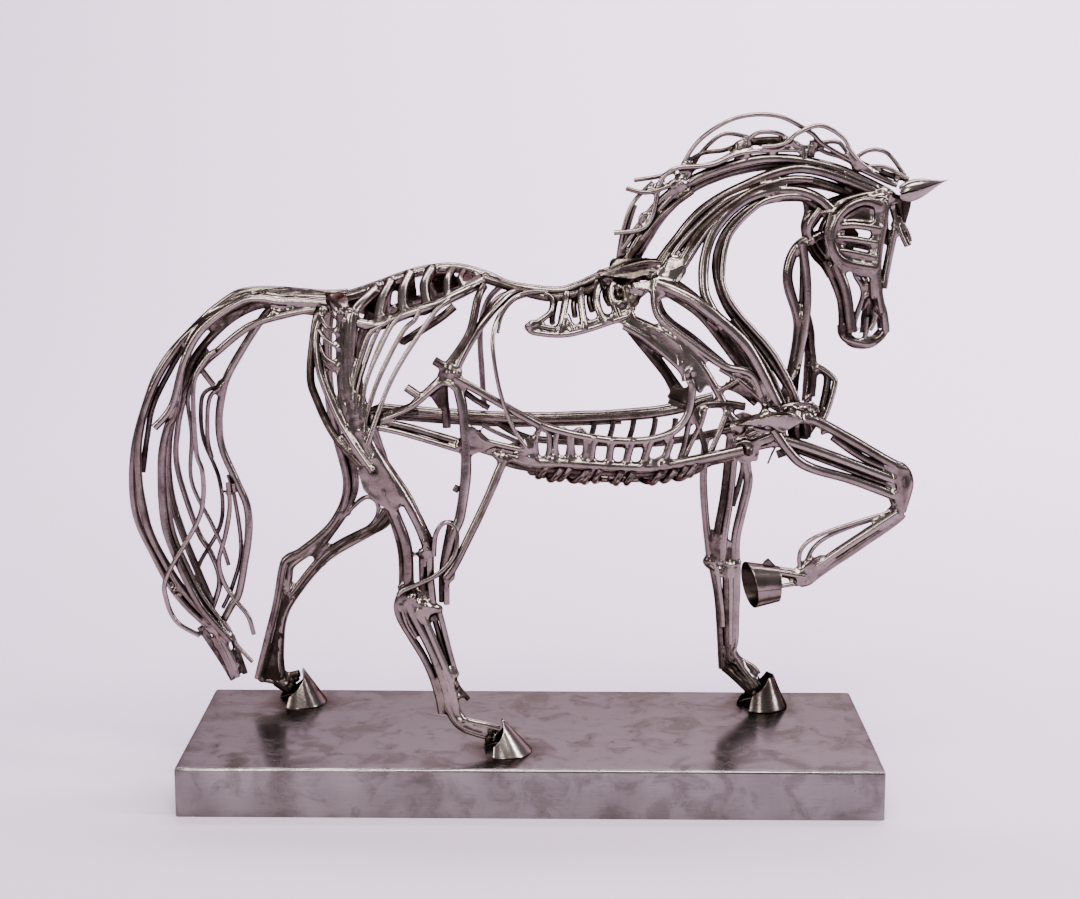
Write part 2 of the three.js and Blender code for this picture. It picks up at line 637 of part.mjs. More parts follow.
// Every body in the order in which it is fitted: a later body is cut back from the earlier ones.
const BODIES = [
  ['plinth', SHEET_STEEL, [plinth()]],
  ['hoof_near_hind', BRIGHT, standingHoof(-19, -49, 18, { x: -7, z: 57 })],
  ['hoof_far_hind', SHEET_STEEL, standingHoof(-179, 60, 20, { x: -4, z: 57 })],
  ['hoof_far_fore', SHEET_STEEL, standingHoof(175, 56, 19, { x: -2, z: 57 })],
  ['hoof_near_fore', SHEET_STEEL, raisedHoof()],
  ['ear_near', BRIGHT, nearEar()],
  ['ear_far', DARK, farEar()],
  ['spine', DARK, spine()],
  ['thigh_plate_near', STEEL, thighPlate()],
  ['cannon_near_hind', STEEL, hockNear()],
  ['leg_far_hind', STEEL, hockFar()],
  ['foreleg_upper_near', STEEL, forelegUpper()],
  ['foreleg_lower_near', STEEL, forelegLower()],
  ['foreleg_upper_far', STEEL, forelegFarUpper()],
  ['foreleg_lower_far', STEEL, forelegFarLower()],
  ['haunch_near', STEEL, haunchNear()],
  ['haunch_far', DARK, haunchFar()],
  ['rump_grille_near', BRIGHT, rumpGrille(-1)],
  ['rump_grille_far', DARK, rumpGrille(1)],
  ['flank_near', STEEL, flankNear()],
  ['gaskin_rod_near', STEEL, gaskinNear()],
  ['hock_wire_near', BRIGHT, hockWire()],
  ['belly_ladder_near', BRIGHT, ladderNear()],
  ['belly_bar_far', STEEL, barFar()],
  ['keel', DARK, keel()],
  ['rib_near', BRIGHT, ribNear()],
  ['rib_far', DARK, ribFar()],
  ['shoulder_near', STEEL, shoulderNear()],
  ['shoulder_far', DARK, shoulderFar()],
  ['elbow_struts', STEEL, elbowStruts()],
  ['withers_ladder', BRIGHT, withersLadder()],
  ['chest', BRIGHT, chest()],
  ['face_near', STEEL, faceNear()],
  ['face_far', DARK, faceFar()],
  ['poll', STEEL, poll()],
  ['crest', BRIGHT, crest()],
  ['neck_middle', DARK, neckMiddle()],
  ['neck_front', BRIGHT, neckFront()],
  ['throat', STEEL, throat()],
  ['chest_hook', BRIGHT, chestHook()],
  ['tail_outer', STEEL, tailOuter()],
  ['tail_middle', STEEL, tailMiddle()],
  ['tail_inner', STEEL, tailInner()],
  ['tail_wire', BRIGHT, tailWire()],
  ['thigh_rib_1', BRIGHT, thighRib(...RIB_TOPS.a)],
  ['thigh_rib_2', BRIGHT, thighRib(...RIB_TOPS.b)],
  ['thigh_rib_3', BRIGHT, thighRib(...RIB_TOPS.c)],
  ['thigh_rib_4', BRIGHT, thighRib(...RIB_TOPS.d)],
  ['mane_wire_1', BRIGHT, maneWire([[107, -2, 446], [107, -3, 458], [118, -4, 471], [142, -5, 485],
    [155, -5, 488], [170, -5, 487], [193, -5, 476], [209, -4, 463], [222, -3, 455]])],
  ['mane_wire_2', BRIGHT, maneWire([[114, 3, 447], [118, 5, 460], [128, 6, 470], [142, 6, 474], [152, 6, 469],
    [160, 4, 460]])],
  ['mane_wire_3', BRIGHT, maneWire([[164, 2, 458], [175, 4, 468], [192, 6, 479], [206, 6, 479], [219, 5, 469],
    [231, 3, 454], [240, 2, 445]])],
  ['mane_wire_4', BRIGHT, maneWire([[229, 7, 447], [231, 8, 460], [241, 7, 463], [252, 5, 459],
    [262, 2, 447]])],
  ['mane_wire_5', BRIGHT, maneWire([[57, -4, 405], [68, -5, 405], [80, -5, 410]])],
  ['forelock', DARK, forelock()],
];

// Keeps the connected shell with the most volume and says how much the others held.
function largestShell(mesh) {
  const stride = mesh.numProp;
  const count = mesh.vertProperties.length / stride;
  const parent = Array.from({ length: count }, (_, i) => i);
  const find = (i) => {
    let k = i;
    while (parent[k] !== k) {
      parent[k] = parent[parent[k]];
      k = parent[k];
    }
    return k;
  };
  const tri = mesh.triVerts;
  for (let i = 0; i < tri.length; i += 3) {
    parent[find(tri[i + 1])] = find(tri[i]);
    parent[find(tri[i + 2])] = find(tri[i]);
  }
  const corner = (i) => new THREE.Vector3().fromArray(mesh.vertProperties, i * stride);
  const volumes = new Map();
  for (let i = 0; i < tri.length; i += 3) {
    const root = find(tri[i]);
    const swept = corner(tri[i]).dot(corner(tri[i + 1]).cross(corner(tri[i + 2]))) / 6;
    volumes.set(root, (volumes.get(root) ?? 0) + swept);
  }
  const best = [...volumes.entries()].reduce((a, b) => (b[1] > a[1] ? b : a))[0];
  const positions = [];
  for (let i = 0; i < tri.length; i += 1) {
    if (find(tri[i - (i % 3)]) === best) {
      const p = corner(tri[i]);
      positions.push(p.x, p.y, p.z);
    }
  }
  const geometry = new THREE.BufferGeometry();
  geometry.setAttribute('position', new THREE.Float32BufferAttribute(positions, 3));
  const pieces = [...volumes.values()].filter((v) => v > 0);
  const lost = pieces.reduce((a, b) => a + b, 0) - volumes.get(best);
  return { geometry, lost };
}

function unite(pieces, grow) {
  return pieces.map((piece) => piece(grow)).reduce((a, b) => a.add(b));
}

function boxOf(solid) {
  const mesh = solid.getMesh();
  const box = new THREE.Box3();
  for (let i = 0; i < mesh.vertProperties.length; i += mesh.numProp) {
    box.expandByPoint(new THREE.Vector3().fromArray(mesh.vertProperties, i));
  }
  return box;
}

// The largest sliver, in mm3, that fitting may trim off a body
const MOST_LOST = 60;

const horse = new THREE.Group();
horse.name = 'horse_sculpture';
const fitted = [];
for (const [name, finish, pieces] of BODIES) {
  let solid = unite(pieces, 0);
  const box = boxOf(solid).expandByScalar(1);
  for (const earlier of fitted) {
    if (earlier.box.intersectsBox(box)) {
      solid = solid.subtract(earlier.grown);
    }
  }
  const { geometry, lost } = largestShell(solid.getMesh());
  if (lost > MOST_LOST) {
    throw new Error(`${name} falls into pieces: ${lost.toFixed(0)} mm3 would be lost`);
  }
  geometry.computeVertexNormals();
  const mesh = new THREE.Mesh(geometry, new THREE.MeshStandardMaterial(finish));
  mesh.name = name;
  horse.add(mesh);
  fitted.push({ grown: unite(pieces, GAP), box });
}

export default horse;
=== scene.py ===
"""Horse sculpture welded from bent steel rod, on a folded sheet plinth: the visual model."""
import logging
import math
from collections.abc import Sequence
from dataclasses import dataclass
from enum import Enum

import bmesh
import bpy
from mathutils import Matrix, Vector, noise
from mathutils.bvhtree import BVHTree
from mathutils.kdtree import KDTree


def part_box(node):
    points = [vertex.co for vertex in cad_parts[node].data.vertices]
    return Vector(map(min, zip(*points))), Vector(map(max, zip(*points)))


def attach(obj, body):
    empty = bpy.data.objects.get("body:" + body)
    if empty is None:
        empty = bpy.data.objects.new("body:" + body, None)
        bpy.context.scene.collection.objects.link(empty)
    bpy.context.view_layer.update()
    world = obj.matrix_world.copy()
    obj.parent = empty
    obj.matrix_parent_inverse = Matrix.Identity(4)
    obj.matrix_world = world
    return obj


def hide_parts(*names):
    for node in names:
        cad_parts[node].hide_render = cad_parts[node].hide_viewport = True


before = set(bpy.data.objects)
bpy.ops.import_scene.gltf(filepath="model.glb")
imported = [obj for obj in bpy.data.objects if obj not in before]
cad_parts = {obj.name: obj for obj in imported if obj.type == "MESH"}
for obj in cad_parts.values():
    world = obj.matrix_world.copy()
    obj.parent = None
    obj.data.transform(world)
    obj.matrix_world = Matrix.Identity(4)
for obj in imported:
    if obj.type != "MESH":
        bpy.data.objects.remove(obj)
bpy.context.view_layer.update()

LOG = logging.getLogger("horse_sculpture")
MM = 0.001
# Tone below black for the inside of open sheet pieces: painted shade inside the hooves.
INSIDE_SHADE = -0.4

Point = tuple[float, float, float]
Lump = tuple[float, float, float, float]


class Gauge(float, Enum):
    """Diameters of the steel stock, in mm."""

    WIRE = 3.2
    THIN = 4.4
    ROD = 5.8
    HEAVY = 7.6
    BAR = 9.2


class Tone(float, Enum):
    """How far a rod was burnished back after welding, from black scale to bright metal.

    A few black plates use the black tone as painted shade.
    """

    BLACK = 0.0
    DARK = 0.22
    MID = 0.5
    LIGHT = 0.75
    BRIGHT = 1.0


def linear(code: str) -> tuple[float, float, float, float]:
    """Turn an sRGB hex colour into linear light.

    Args:
        code: The colour as six hex digits.

    Returns:
        Red, green, blue and alpha, linear.
    """
    parts = [int(code[i:i + 2], 16) / 255 for i in (0, 2, 4)]
    lit = [c / 12.92 if c <= 0.04045 else ((c + 0.055) / 1.055) ** 2.4 for c in parts]
    return (lit[0], lit[1], lit[2], 1.0)


def add(tree: bpy.types.NodeTree, kind: str, settings: dict | None = None, sockets: dict | None = None):
    """Add a node, give it its settings and fill or link its inputs.

    Args:
        tree: The node tree that takes the node.
        kind: The node's type.
        settings: Properties of the node, by name.
        sockets: Inputs by name or number; a value that is a socket is linked, and any other is set.

    Returns:
        The new node.
    """
    node = tree.nodes.new(kind)
    for name, value in (settings or {}).items():
        setattr(node, name, value)
    for key, value in (sockets or {}).items():
        if isinstance(value, bpy.types.NodeSocket):
            tree.links.new(value, node.inputs[key])
        else:
            node.inputs[key].default_value = value
    return node


# ---------------------------------------------------------------- finishes


@dataclass(frozen=True)
class BurnishedRod:
    """Mild steel rod, welded black and then burnished with a wire wheel.

    The wheel leaves bright metal on the outside of each rod and dark scale in the crevices, with brown heat
    tint around the welds. The darkening between rods is also painted shade, where shade falls between them.
    """

    name: str = "mild_steel_rod_burnished"
    bright: str = "8c817c"
    worn: str = "463c36"
    scale_and_shade_colour: str = "181210"
    tint: str = "5e4030"
    edge: str = "6a605c"
    blotch_mm: float = 14.0
    grain_mm: float = 1.6
    smooth: float = 0.19
    rough: float = 0.44

    def material(self) -> bpy.types.Material:
        """Build the material: burnish, heat tint, scale and painted shade between rods from attributes and
        noise.
        """
        steel = bpy.data.materials.new(self.name)
        steel.use_nodes = True
        tree = steel.node_tree
        shader = tree.nodes["Principled BSDF"]
        place = add(tree, "ShaderNodeTexCoord").outputs["Object"]
        tone = add(tree, "ShaderNodeAttribute", {"attribute_name": "tone"}).outputs["Fac"]
        shade_and_dark_marks = add(tree, "ShaderNodeAttribute", {"attribute_name": "shade_and_dark_marks"}).outputs["Fac"]
        heat = add(tree, "ShaderNodeAttribute", {"attribute_name": "heat"}).outputs["Fac"]
        blotch = add(tree, "ShaderNodeTexNoise", {}, {
            "Vector": place, "Scale": 1000 / self.blotch_mm, "Detail": 4.0, "Roughness": 0.62}).outputs["Fac"]
        grain = add(tree, "ShaderNodeTexNoise", {}, {
            "Vector": place, "Scale": 1000 / self.grain_mm, "Detail": 3.0, "Roughness": 0.6}).outputs["Fac"]
        spread = add(tree, "ShaderNodeMapRange", {}, {
            "Value": blotch, "From Min": 0.3, "From Max": 0.7, "To Min": -0.28, "To Max": 0.28}).outputs[0]
        worn = add(tree, "ShaderNodeMath", {"operation": "ADD", "use_clamp": True}, {
            0: tone, 1: spread}).outputs[0]
        metal = add(tree, "ShaderNodeMix", {"data_type": "RGBA"}, {
            "Factor": worn, 6: linear(self.worn), 7: linear(self.bright)}).outputs[2]
        tinted = add(tree, "ShaderNodeMath", {"operation": "MULTIPLY", "use_clamp": True}, {
            0: heat, 1: blotch}).outputs[0]
        warmed = add(tree, "ShaderNodeMix", {"data_type": "RGBA"}, {
            "Factor": tinted, 6: metal, 7: linear(self.tint)}).outputs[2]
        dull = add(tree, "ShaderNodeMapRange", {}, {
            "Value": worn, "From Min": 0.0, "From Max": 0.42, "To Min": 0.62, "To Max": 0.0}).outputs[0]
        fleck = add(tree, "ShaderNodeMapRange", {}, {
            "Value": grain, "From Min": 0.52, "From Max": 0.72, "To Min": 0.0, "To Max": 0.35}).outputs[0]
        # Painted shade between rods joins the scale on dull metal and turns the colour towards the scale
        # colour.
        scale_and_shade = add(tree, "ShaderNodeMath", {"operation": "MAXIMUM"}, {0: shade_and_dark_marks, 1: dull}).outputs[0]
        black = add(tree, "ShaderNodeMath", {"operation": "ADD", "use_clamp": True}, {
            0: scale_and_shade, 1: fleck}).outputs[0]
        colour = add(tree, "ShaderNodeMix", {"data_type": "RGBA"}, {
            "Factor": black, 6: warmed, 7: linear(self.scale_and_shade_colour)}).outputs[2]
        roughness = add(tree, "ShaderNodeMapRange", {}, {
            "Value": black, "From Min": 0.0, "From Max": 1.0, "To Min": self.smooth, "To Max": self.rough})
        bump = add(tree, "ShaderNodeBump", {}, {
            "Strength": 0.35, "Distance": 0.0002, "Height": grain}).outputs["Normal"]
        tree.links.new(colour, shader.inputs["Base Color"])
        tree.links.new(roughness.outputs["Result"], shader.inputs["Roughness"])
        tree.links.new(bump, shader.inputs["Normal"])
        shader.inputs["Metallic"].default_value = 1.0
        shader.inputs["Specular Tint"].default_value = linear(self.edge)
        return steel


@dataclass(frozen=True)
class GroundSheet:
    """Mild steel sheet, ground with a disc and then left to stain.

    The disc leaves fine scratches along the sheet, and handling leaves cloudy stains and a few dark spots.
    """

    name: str
    clean: str = "8b8783"
    stain: str = "696460"
    # The spot colour also takes the painted shade on the plinth's front.
    spot: str = "352c2a"
    edge: str = "858380"
    cloud_mm: float = 23.0
    scratch_mm: float = 0.9
    smooth: float = 0.17
    rough: float = 0.36

    def material(self) -> bpy.types.Material:
        """Build the material: long scratches, cloudy stains, dark spots and painted shade from an attribute.
        """
        steel = bpy.data.materials.new(self.name)
        steel.use_nodes = True
        tree = steel.node_tree
        shader = tree.nodes["Principled BSDF"]
        place = add(tree, "ShaderNodeTexCoord").outputs["Object"]
        darkening = add(tree, "ShaderNodeAttribute", {"attribute_name": "shade_and_dark_marks"}).outputs["Fac"]
        long_way = add(tree, "ShaderNodeMapping", {}, {"Vector": place, "Scale": (0.06, 1.0, 1.0)}).outputs[0]
        cloud = add(tree, "ShaderNodeTexNoise", {}, {
            "Vector": place, "Scale": 1000 / self.cloud_mm, "Detail": 6.0, "Roughness": 0.6,
            "Distortion": 0.6}).outputs["Fac"]
        scratch = add(tree, "ShaderNodeTexNoise", {}, {
            "Vector": long_way, "Scale": 1000 / self.scratch_mm, "Detail": 2.0, "Roughness": 0.7}).outputs[0]
        mottle = add(tree, "ShaderNodeTexNoise", {}, {
            "Vector": place, "Scale": 2600 / self.cloud_mm, "Detail": 6.0, "Roughness": 0.72}).outputs["Fac"]
        stained = add(tree, "ShaderNodeMapRange", {"interpolation_type": "SMOOTHSTEP"}, {
            "Value": cloud, "From Min": 0.42, "From Max": 0.66, "To Min": 0.0, "To Max": 0.72}).outputs[0]
        spotted = add(tree, "ShaderNodeMapRange", {"interpolation_type": "SMOOTHSTEP"}, {
            "Value": mottle, "From Min": 0.58, "From Max": 0.7, "To Min": 0.0, "To Max": 0.5}).outputs[0]
        streak = add(tree, "ShaderNodeMapRange", {}, {
            "Value": scratch, "From Min": 0.3, "From Max": 0.7, "To Min": -0.16, "To Max": 0.16}).outputs[0]
        blend = add(tree, "ShaderNodeMath", {"operation": "ADD", "use_clamp": True}, {
            0: stained, 1: streak}).outputs[0]
        base = add(tree, "ShaderNodeMix", {"data_type": "RGBA"}, {
            "Factor": blend, 6: linear(self.clean), 7: linear(self.stain)}).outputs[2]
        # Painted shade and marks from the attribute join the dark spots.
        spots_and_shade = add(tree, "ShaderNodeMath", {"operation": "MAXIMUM"}, {0: spotted, 1: darkening}).outputs[0]
        colour = add(tree, "ShaderNodeMix", {"data_type": "RGBA"}, {
            "Factor": spots_and_shade, 6: base, 7: linear(self.spot)}).outputs[2]
        roughness = add(tree, "ShaderNodeMapRange", {}, {
            "Value": blend, "From Min": 0.0, "From Max": 1.0, "To Min": self.smooth, "To Max": self.rough})
        bump = add(tree, "ShaderNodeBump", {}, {
            "Strength": 0.25, "Distance": 0.0001, "Height": scratch}).outputs["Normal"]
        tree.links.new(colour, shader.inputs["Base Color"])
        tree.links.new(roughness.outputs["Result"], shader.inputs["Roughness"])
        tree.links.new(bump, shader.inputs["Normal"])
        shader.inputs["Metallic"].default_value = 1.0
        shader.inputs["Specular Tint"].default_value = linear(self.edge)
        return steel


# ---------------------------------------------------------------- geometry trees


def new_tree(name: str, inputs: list[tuple[str, str]]) -> bpy.types.NodeTree:
    """Start a geometry tree with a geometry input, a geometry output and named inputs.

    Args:
        name: The tree's name.
        inputs: Name and socket type of each further input.

    Returns:
        The empty tree.
    """
    tree = bpy.data.node_groups.new(name, "GeometryNodeTree")
    tree.interface.new_socket("Geometry", in_out="INPUT", socket_type="NodeSocketGeometry")
    tree.interface.new_socket("Geometry", in_out="OUTPUT", socket_type="NodeSocketGeometry")
    for label, kind in inputs:
        tree.interface.new_socket(label, in_out="INPUT", socket_type=kind)
    return tree


def finish_tree(tree: bpy.types.NodeTree, geometry: bpy.types.NodeSocket,
                material: bpy.types.NodeSocket) -> None:
    """End a tree in smooth shading, realized instances, a material and the output."""
    smooth = add(tree, "GeometryNodeSetShadeSmooth", {}, {"Geometry": geometry})
    real = add(tree, "GeometryNodeRealizeInstances", {}, {"Geometry": smooth.outputs[0]})
    clad = add(tree, "GeometryNodeSetMaterial", {}, {"Geometry": real.outputs[0], "Material": material})
    add(tree, "NodeGroupOutput", {}, {"Geometry": clad.outputs[0]})


def attribute(tree: bpy.types.NodeTree, name: str) -> bpy.types.NodeSocket:
    """Read a named float attribute inside a geometry tree."""
    return add(tree, "GeometryNodeInputNamedAttribute", {"data_type": "FLOAT"}, {"Name": name}).outputs[0]


def bent_rod_tree() -> bpy.types.NodeTree:
    """Make the tree that turns bend lines into round rods.

    Returns:
        A tree that takes polylines with gauge and tone and gives capped tubes with a slight hand-bent wobble.
    """
    tree = new_tree("bent_rod", [
        ("Sides", "NodeSocketInt"), ("Step", "NodeSocketFloat"), ("Wobble", "NodeSocketFloat"),
        ("Seed", "NodeSocketFloat"), ("Material", "NodeSocketMaterial")])
    given = add(tree, "NodeGroupInput").outputs
    line = add(tree, "GeometryNodeMeshToCurve", {}, {"Mesh": given["Geometry"]})
    bent = add(tree, "GeometryNodeCurveSplineType", {"spline_type": "CATMULL_ROM"}, {
        "Curve": line.outputs[0]})
    fine = add(tree, "GeometryNodeResampleCurve", {"mode": "LENGTH"}, {
        "Curve": bent.outputs[0], "Length": given["Step"]})
    where = add(tree, "GeometryNodeInputPosition").outputs[0]
    hand = add(tree, "ShaderNodeTexNoise", {"noise_dimensions": "4D"}, {
        "Vector": where, "W": given["Seed"], "Scale": 45.0, "Detail": 1.5})
    centred = add(tree, "ShaderNodeVectorMath", {"operation": "SUBTRACT"}, {
        0: hand.outputs["Color"], 1: (0.5, 0.5, 0.5)})
    shift = add(tree, "ShaderNodeVectorMath", {"operation": "SCALE"}, {
        0: centred.outputs[0], "Scale": given["Wobble"]})
    moved = add(tree, "GeometryNodeSetPosition", {}, {
        "Geometry": fine.outputs[0], "Offset": shift.outputs[0]})
    swell = add(tree, "ShaderNodeMapRange", {}, {
        "Value": hand.outputs["Fac"], "From Min": 0.2, "From Max": 0.8, "To Min": 0.46, "To Max": 0.54})
    radius = add(tree, "ShaderNodeMath", {"operation": "MULTIPLY"}, {
        0: attribute(tree, "gauge"), 1: swell.outputs[0]})
    sized = add(tree, "GeometryNodeSetCurveRadius", {}, {
        "Curve": moved.outputs[0], "Radius": radius.outputs[0]})
    ring = add(tree, "GeometryNodeCurvePrimitiveCircle", {}, {"Resolution": given["Sides"], "Radius": 1.0})
    tube = add(tree, "GeometryNodeCurveToMesh", {}, {
        "Curve": sized.outputs[0], "Profile Curve": ring.outputs[0], "Fill Caps": True})
    if "Scale" in tube.inputs:
        tree.links.new(radius.outputs[0], tube.inputs["Scale"])
    finish_tree(tree, tube.outputs[0], given["Material"])
    return tree


def weld_lump_tree() -> bpy.types.NodeTree:
    """Make the tree that sets an uneven lump of weld metal on each point.

    Returns:
        A tree that takes points with a size and gives merged, turned and pitted balls.
    """
    tree = new_tree("weld_lump", [
        ("Pitting", "NodeSocketFloat"), ("Seed", "NodeSocketInt"), ("Material", "NodeSocketMaterial")])
    given = add(tree, "NodeGroupInput").outputs
    ball = add(tree, "GeometryNodeMeshIcoSphere", {}, {"Radius": 1.0, "Subdivisions": 3})
    turn = add(tree, "FunctionNodeRandomValue", {"data_type": "FLOAT_VECTOR"}, {
        "Min": (-3.1, -3.1, -3.1), "Max": (3.1, 3.1, 3.1), "Seed": given["Seed"]})
    stretch = add(tree, "FunctionNodeRandomValue", {"data_type": "FLOAT_VECTOR"}, {
        "Min": (0.8, 0.75, 0.8), "Max": (1.2, 1.0, 1.2), "Seed": given["Seed"]})
    scaled = add(tree, "ShaderNodeVectorMath", {"operation": "SCALE"}, {
        0: stretch.outputs[0], "Scale": attribute(tree, "size")})
    lumps = add(tree, "GeometryNodeInstanceOnPoints", {}, {
        "Points": given["Geometry"], "Instance": ball.outputs[0], "Rotation": turn.outputs[0],
        "Scale": scaled.outputs[0]})
    real = add(tree, "GeometryNodeRealizeInstances", {}, {"Geometry": lumps.outputs[0]})
    where = add(tree, "GeometryNodeInputPosition").outputs[0]
    out = add(tree, "GeometryNodeInputNormal").outputs[0]
    pits = add(tree, "ShaderNodeTexNoise", {}, {"Vector": where, "Scale": 170.0, "Detail": 2.0})
    depth = add(tree, "ShaderNodeMath", {"operation": "SUBTRACT"}, {0: pits.outputs["Fac"], 1: 0.5})
    amount = add(tree, "ShaderNodeMath", {"operation": "MULTIPLY"}, {
        0: depth.outputs[0], 1: given["Pitting"]})
    offset = add(tree, "ShaderNodeVectorMath", {"operation": "SCALE"}, {0: out, "Scale": amount.outputs[0]})
    pitted = add(tree, "GeometryNodeSetPosition", {}, {
        "Geometry": real.outputs[0], "Offset": offset.outputs[0]})
    finish_tree(tree, pitted.outputs[0], given["Material"])
    return tree


def rib_row_tree() -> bpy.types.NodeTree:
    """Make the tree that sets a row of curved ribs along a rail.

    Returns:
        A tree that takes a rail line and gives evenly spaced ribs that reach sideways and up from it.
    """
    tree = new_tree("rib_row", [
        ("Count", "NodeSocketInt"), ("Reach", "NodeSocketVector"), ("Bow", "NodeSocketVector"),
        ("Gauge", "NodeSocketFloat"), ("Seed", "NodeSocketInt"), ("Material", "NodeSocketMaterial")])
    given = add(tree, "NodeGroupInput").outputs
    line = add(tree, "GeometryNodeMeshToCurve", {}, {"Mesh": given["Geometry"]})
    marks = add(tree, "GeometryNodeResampleCurve", {"mode": "COUNT"}, {
        "Curve": line.outputs[0], "Count": given["Count"]})
    arc = add(tree, "GeometryNodeCurveQuadraticBezier", {}, {
        "Resolution": 8, "Start": (0.0, 0.0, 0.0), "Middle": given["Bow"], "End": given["Reach"]})
    sized = add(tree, "GeometryNodeSetCurveRadius", {}, {"Curve": arc.outputs[0], "Radius": given["Gauge"]})
    ring = add(tree, "GeometryNodeCurvePrimitiveCircle", {}, {"Resolution": 12, "Radius": 0.5})
    rib = add(tree, "GeometryNodeCurveToMesh", {}, {
        "Curve": sized.outputs[0], "Profile Curve": ring.outputs[0], "Fill Caps": True})
    if "Scale" in rib.inputs:
        tree.links.new(given["Gauge"], rib.inputs["Scale"])
    lean = add(tree, "FunctionNodeRandomValue", {"data_type": "FLOAT_VECTOR"}, {
        "Min": (-0.06, -0.05, -0.22), "Max": (0.06, 0.05, 0.22), "Seed": given["Seed"]})
    row = add(tree, "GeometryNodeInstanceOnPoints", {}, {
        "Points": marks.outputs[0], "Instance": rib.outputs[0], "Rotation": lean.outputs[0]})
    finish_tree(tree, row.outputs[0], given["Material"])
    return tree


def grown(source: bpy.types.Mesh, tree: bpy.types.NodeTree, values: dict) -> bpy.types.Mesh:
    """Run a geometry tree over a mesh and keep the result as a plain mesh.

    Args:
        source: The mesh that the tree starts from.
        tree: The geometry tree.
        values: Its inputs, by socket name.

    Returns:
        The evaluated mesh.
    """
    holder = bpy.data.objects.new("holder", source)
    bpy.context.scene.collection.objects.link(holder)
    modifier = holder.modifiers.new("grow", "NODES")
    modifier.node_group = tree
    for item in tree.interface.items_tree:
        if item.in_out == "INPUT" and item.name in values:
            modifier[item.identifier] = values[item.name]
    return evaluated(holder)


# ---------------------------------------------------------------- rods, plates and pieces


@dataclass(frozen=True)
class Rod:
    """A bent rod: its gauge in mm, its burnish and its bend points in mm."""

    gauge: float
    tone: float
    points: tuple[Point, ...]


def rod(gauge: float, tone: float, *points: Point) -> Rod:
    """Describe a rod by its bend points."""
    return Rod(float(gauge), float(tone), points)


def side(gauge: float, tone: float, depth: float | tuple[float, float], *pairs: tuple[float, float]) -> Rod:
    """Describe a rod by x and z, at one depth or going evenly from a first depth to a last one."""
    first, last = depth if isinstance(depth, tuple) else (depth, depth)
    steps = len(pairs) - 1
    return Rod(float(gauge), float(tone),
               tuple((x, first + (last - first) * i / steps, z) for i, (x, z) in enumerate(pairs)))


@dataclass(frozen=True)
class Plate:
    """A scrap of sheet or a flooded weld: its corner points in mm, its thickness and its burnish."""

    thickness: float
    tone: float
    corners: tuple[Point, ...]


def plate(thickness: float, tone: float, *corners: Point) -> Plate:
    """Describe a plate by its corners."""
    return Plate(thickness, float(tone), corners)


def flat(thickness: float, tone: float, depth: float, *pairs: tuple[float, float]) -> Plate:
    """Describe a plate that lies at one depth, by x and z."""
    return Plate(thickness, float(tone), tuple((x, depth, z) for x, z in pairs))


@dataclass
class Line:
    """A bend line with a gauge at every point, all in metres, and one tone."""

    points: list[Vector]
    gauges: list[float]
    tone: float


def traced(item: Rod, step: float = 1.6) -> list[Vector]:
    """Follow a rod's bends closely.

    Args:
        item: The rod.
        step: Distance between the points, in mm.

    Returns:
        Points on the rod's axis, in metres.
    """
    knots = [Vector(p) for p in (item.points[0], *item.points, item.points[-1])]
    trail: list[Vector] = []
    for a, b, c, d in zip(knots, knots[1:], knots[2:], knots[3:]):
        count = max(1, round((c - b).length / step))
        for i in range(count):
            t = i / count
            trail.append((b * 2 + (c - a) * t + (a * 2 - b * 5 + c * 4 - d) * t ** 2
                          + (b * 3 - a - c * 3 + d) * t ** 3) * 0.5 * MM)
    trail.append(knots[-1] * MM)
    return trail


def line_mesh(lines: list[Line]) -> bpy.types.Mesh:
    """Draw bend lines with gauge and tone on every point.

    Args:
        lines: The lines to draw.

    Returns:
        A mesh of edges.
    """
    points: list[Vector] = []
    edges: list[tuple[int, int]] = []
    gauges: list[float] = []
    tones: list[float] = []
    for item in lines:
        first = len(points)
        points += item.points
        edges += [(i, i + 1) for i in range(first, len(points) - 1)]
        gauges += item.gauges
        tones += [item.tone] * len(item.points)
    mesh = bpy.data.meshes.new("lines")
    mesh.from_pydata(points, edges, [])
    mesh.attributes.new("gauge", "FLOAT", "POINT").data.foreach_set("value", gauges)
    mesh.attributes.new("tone", "FLOAT", "POINT").data.foreach_set("value", tones)
    return mesh


def flat_mesh(item: Plate, grow: float) -> bpy.types.Mesh:
    """Cut a plate's outline.

    Args:
        item: The plate.
        grow: How far each corner moves away from the middle, in mm.

    Returns:
        A flat mesh without thickness.
    """
    corners = [Vector(p) for p in item.corners]
    middle = sum(corners, Vector()) / len(corners)
    shape = bmesh.new()
    shape.faces.new([shape.verts.new((p + (p - middle).normalized() * grow) * MM) for p in corners])
    bmesh.ops.triangulate(shape, faces=shape.faces[:])
    mesh = bpy.data.meshes.new("plate")
    shape.to_mesh(mesh)
    shape.free()
    return mesh


def changed(mesh: bpy.types.Mesh, *steps: tuple[str, dict]) -> bpy.types.Mesh:
    """Run modifiers over a mesh and keep the result.

    Args:
        mesh: The mesh.
        steps: Each modifier's type and settings.

    Returns:
        The plain mesh that comes out.
    """
    holder = bpy.data.objects.new("holder", mesh)
    bpy.context.scene.collection.objects.link(holder)
    for kind, settings in steps:
        modifier = holder.modifiers.new(kind.lower(), kind)
        for name, value in settings.items():
            setattr(modifier, name, value)
    return evaluated(holder)


def evaluated(holder: bpy.types.Object) -> bpy.types.Mesh:
    """Apply an object's modifiers, drop the object and give the mesh."""
    graph = bpy.context.evaluated_depsgraph_get()
    mesh = bpy.data.meshes.new_from_object(holder.evaluated_get(graph))
    bpy.data.objects.remove(holder)
    return mesh


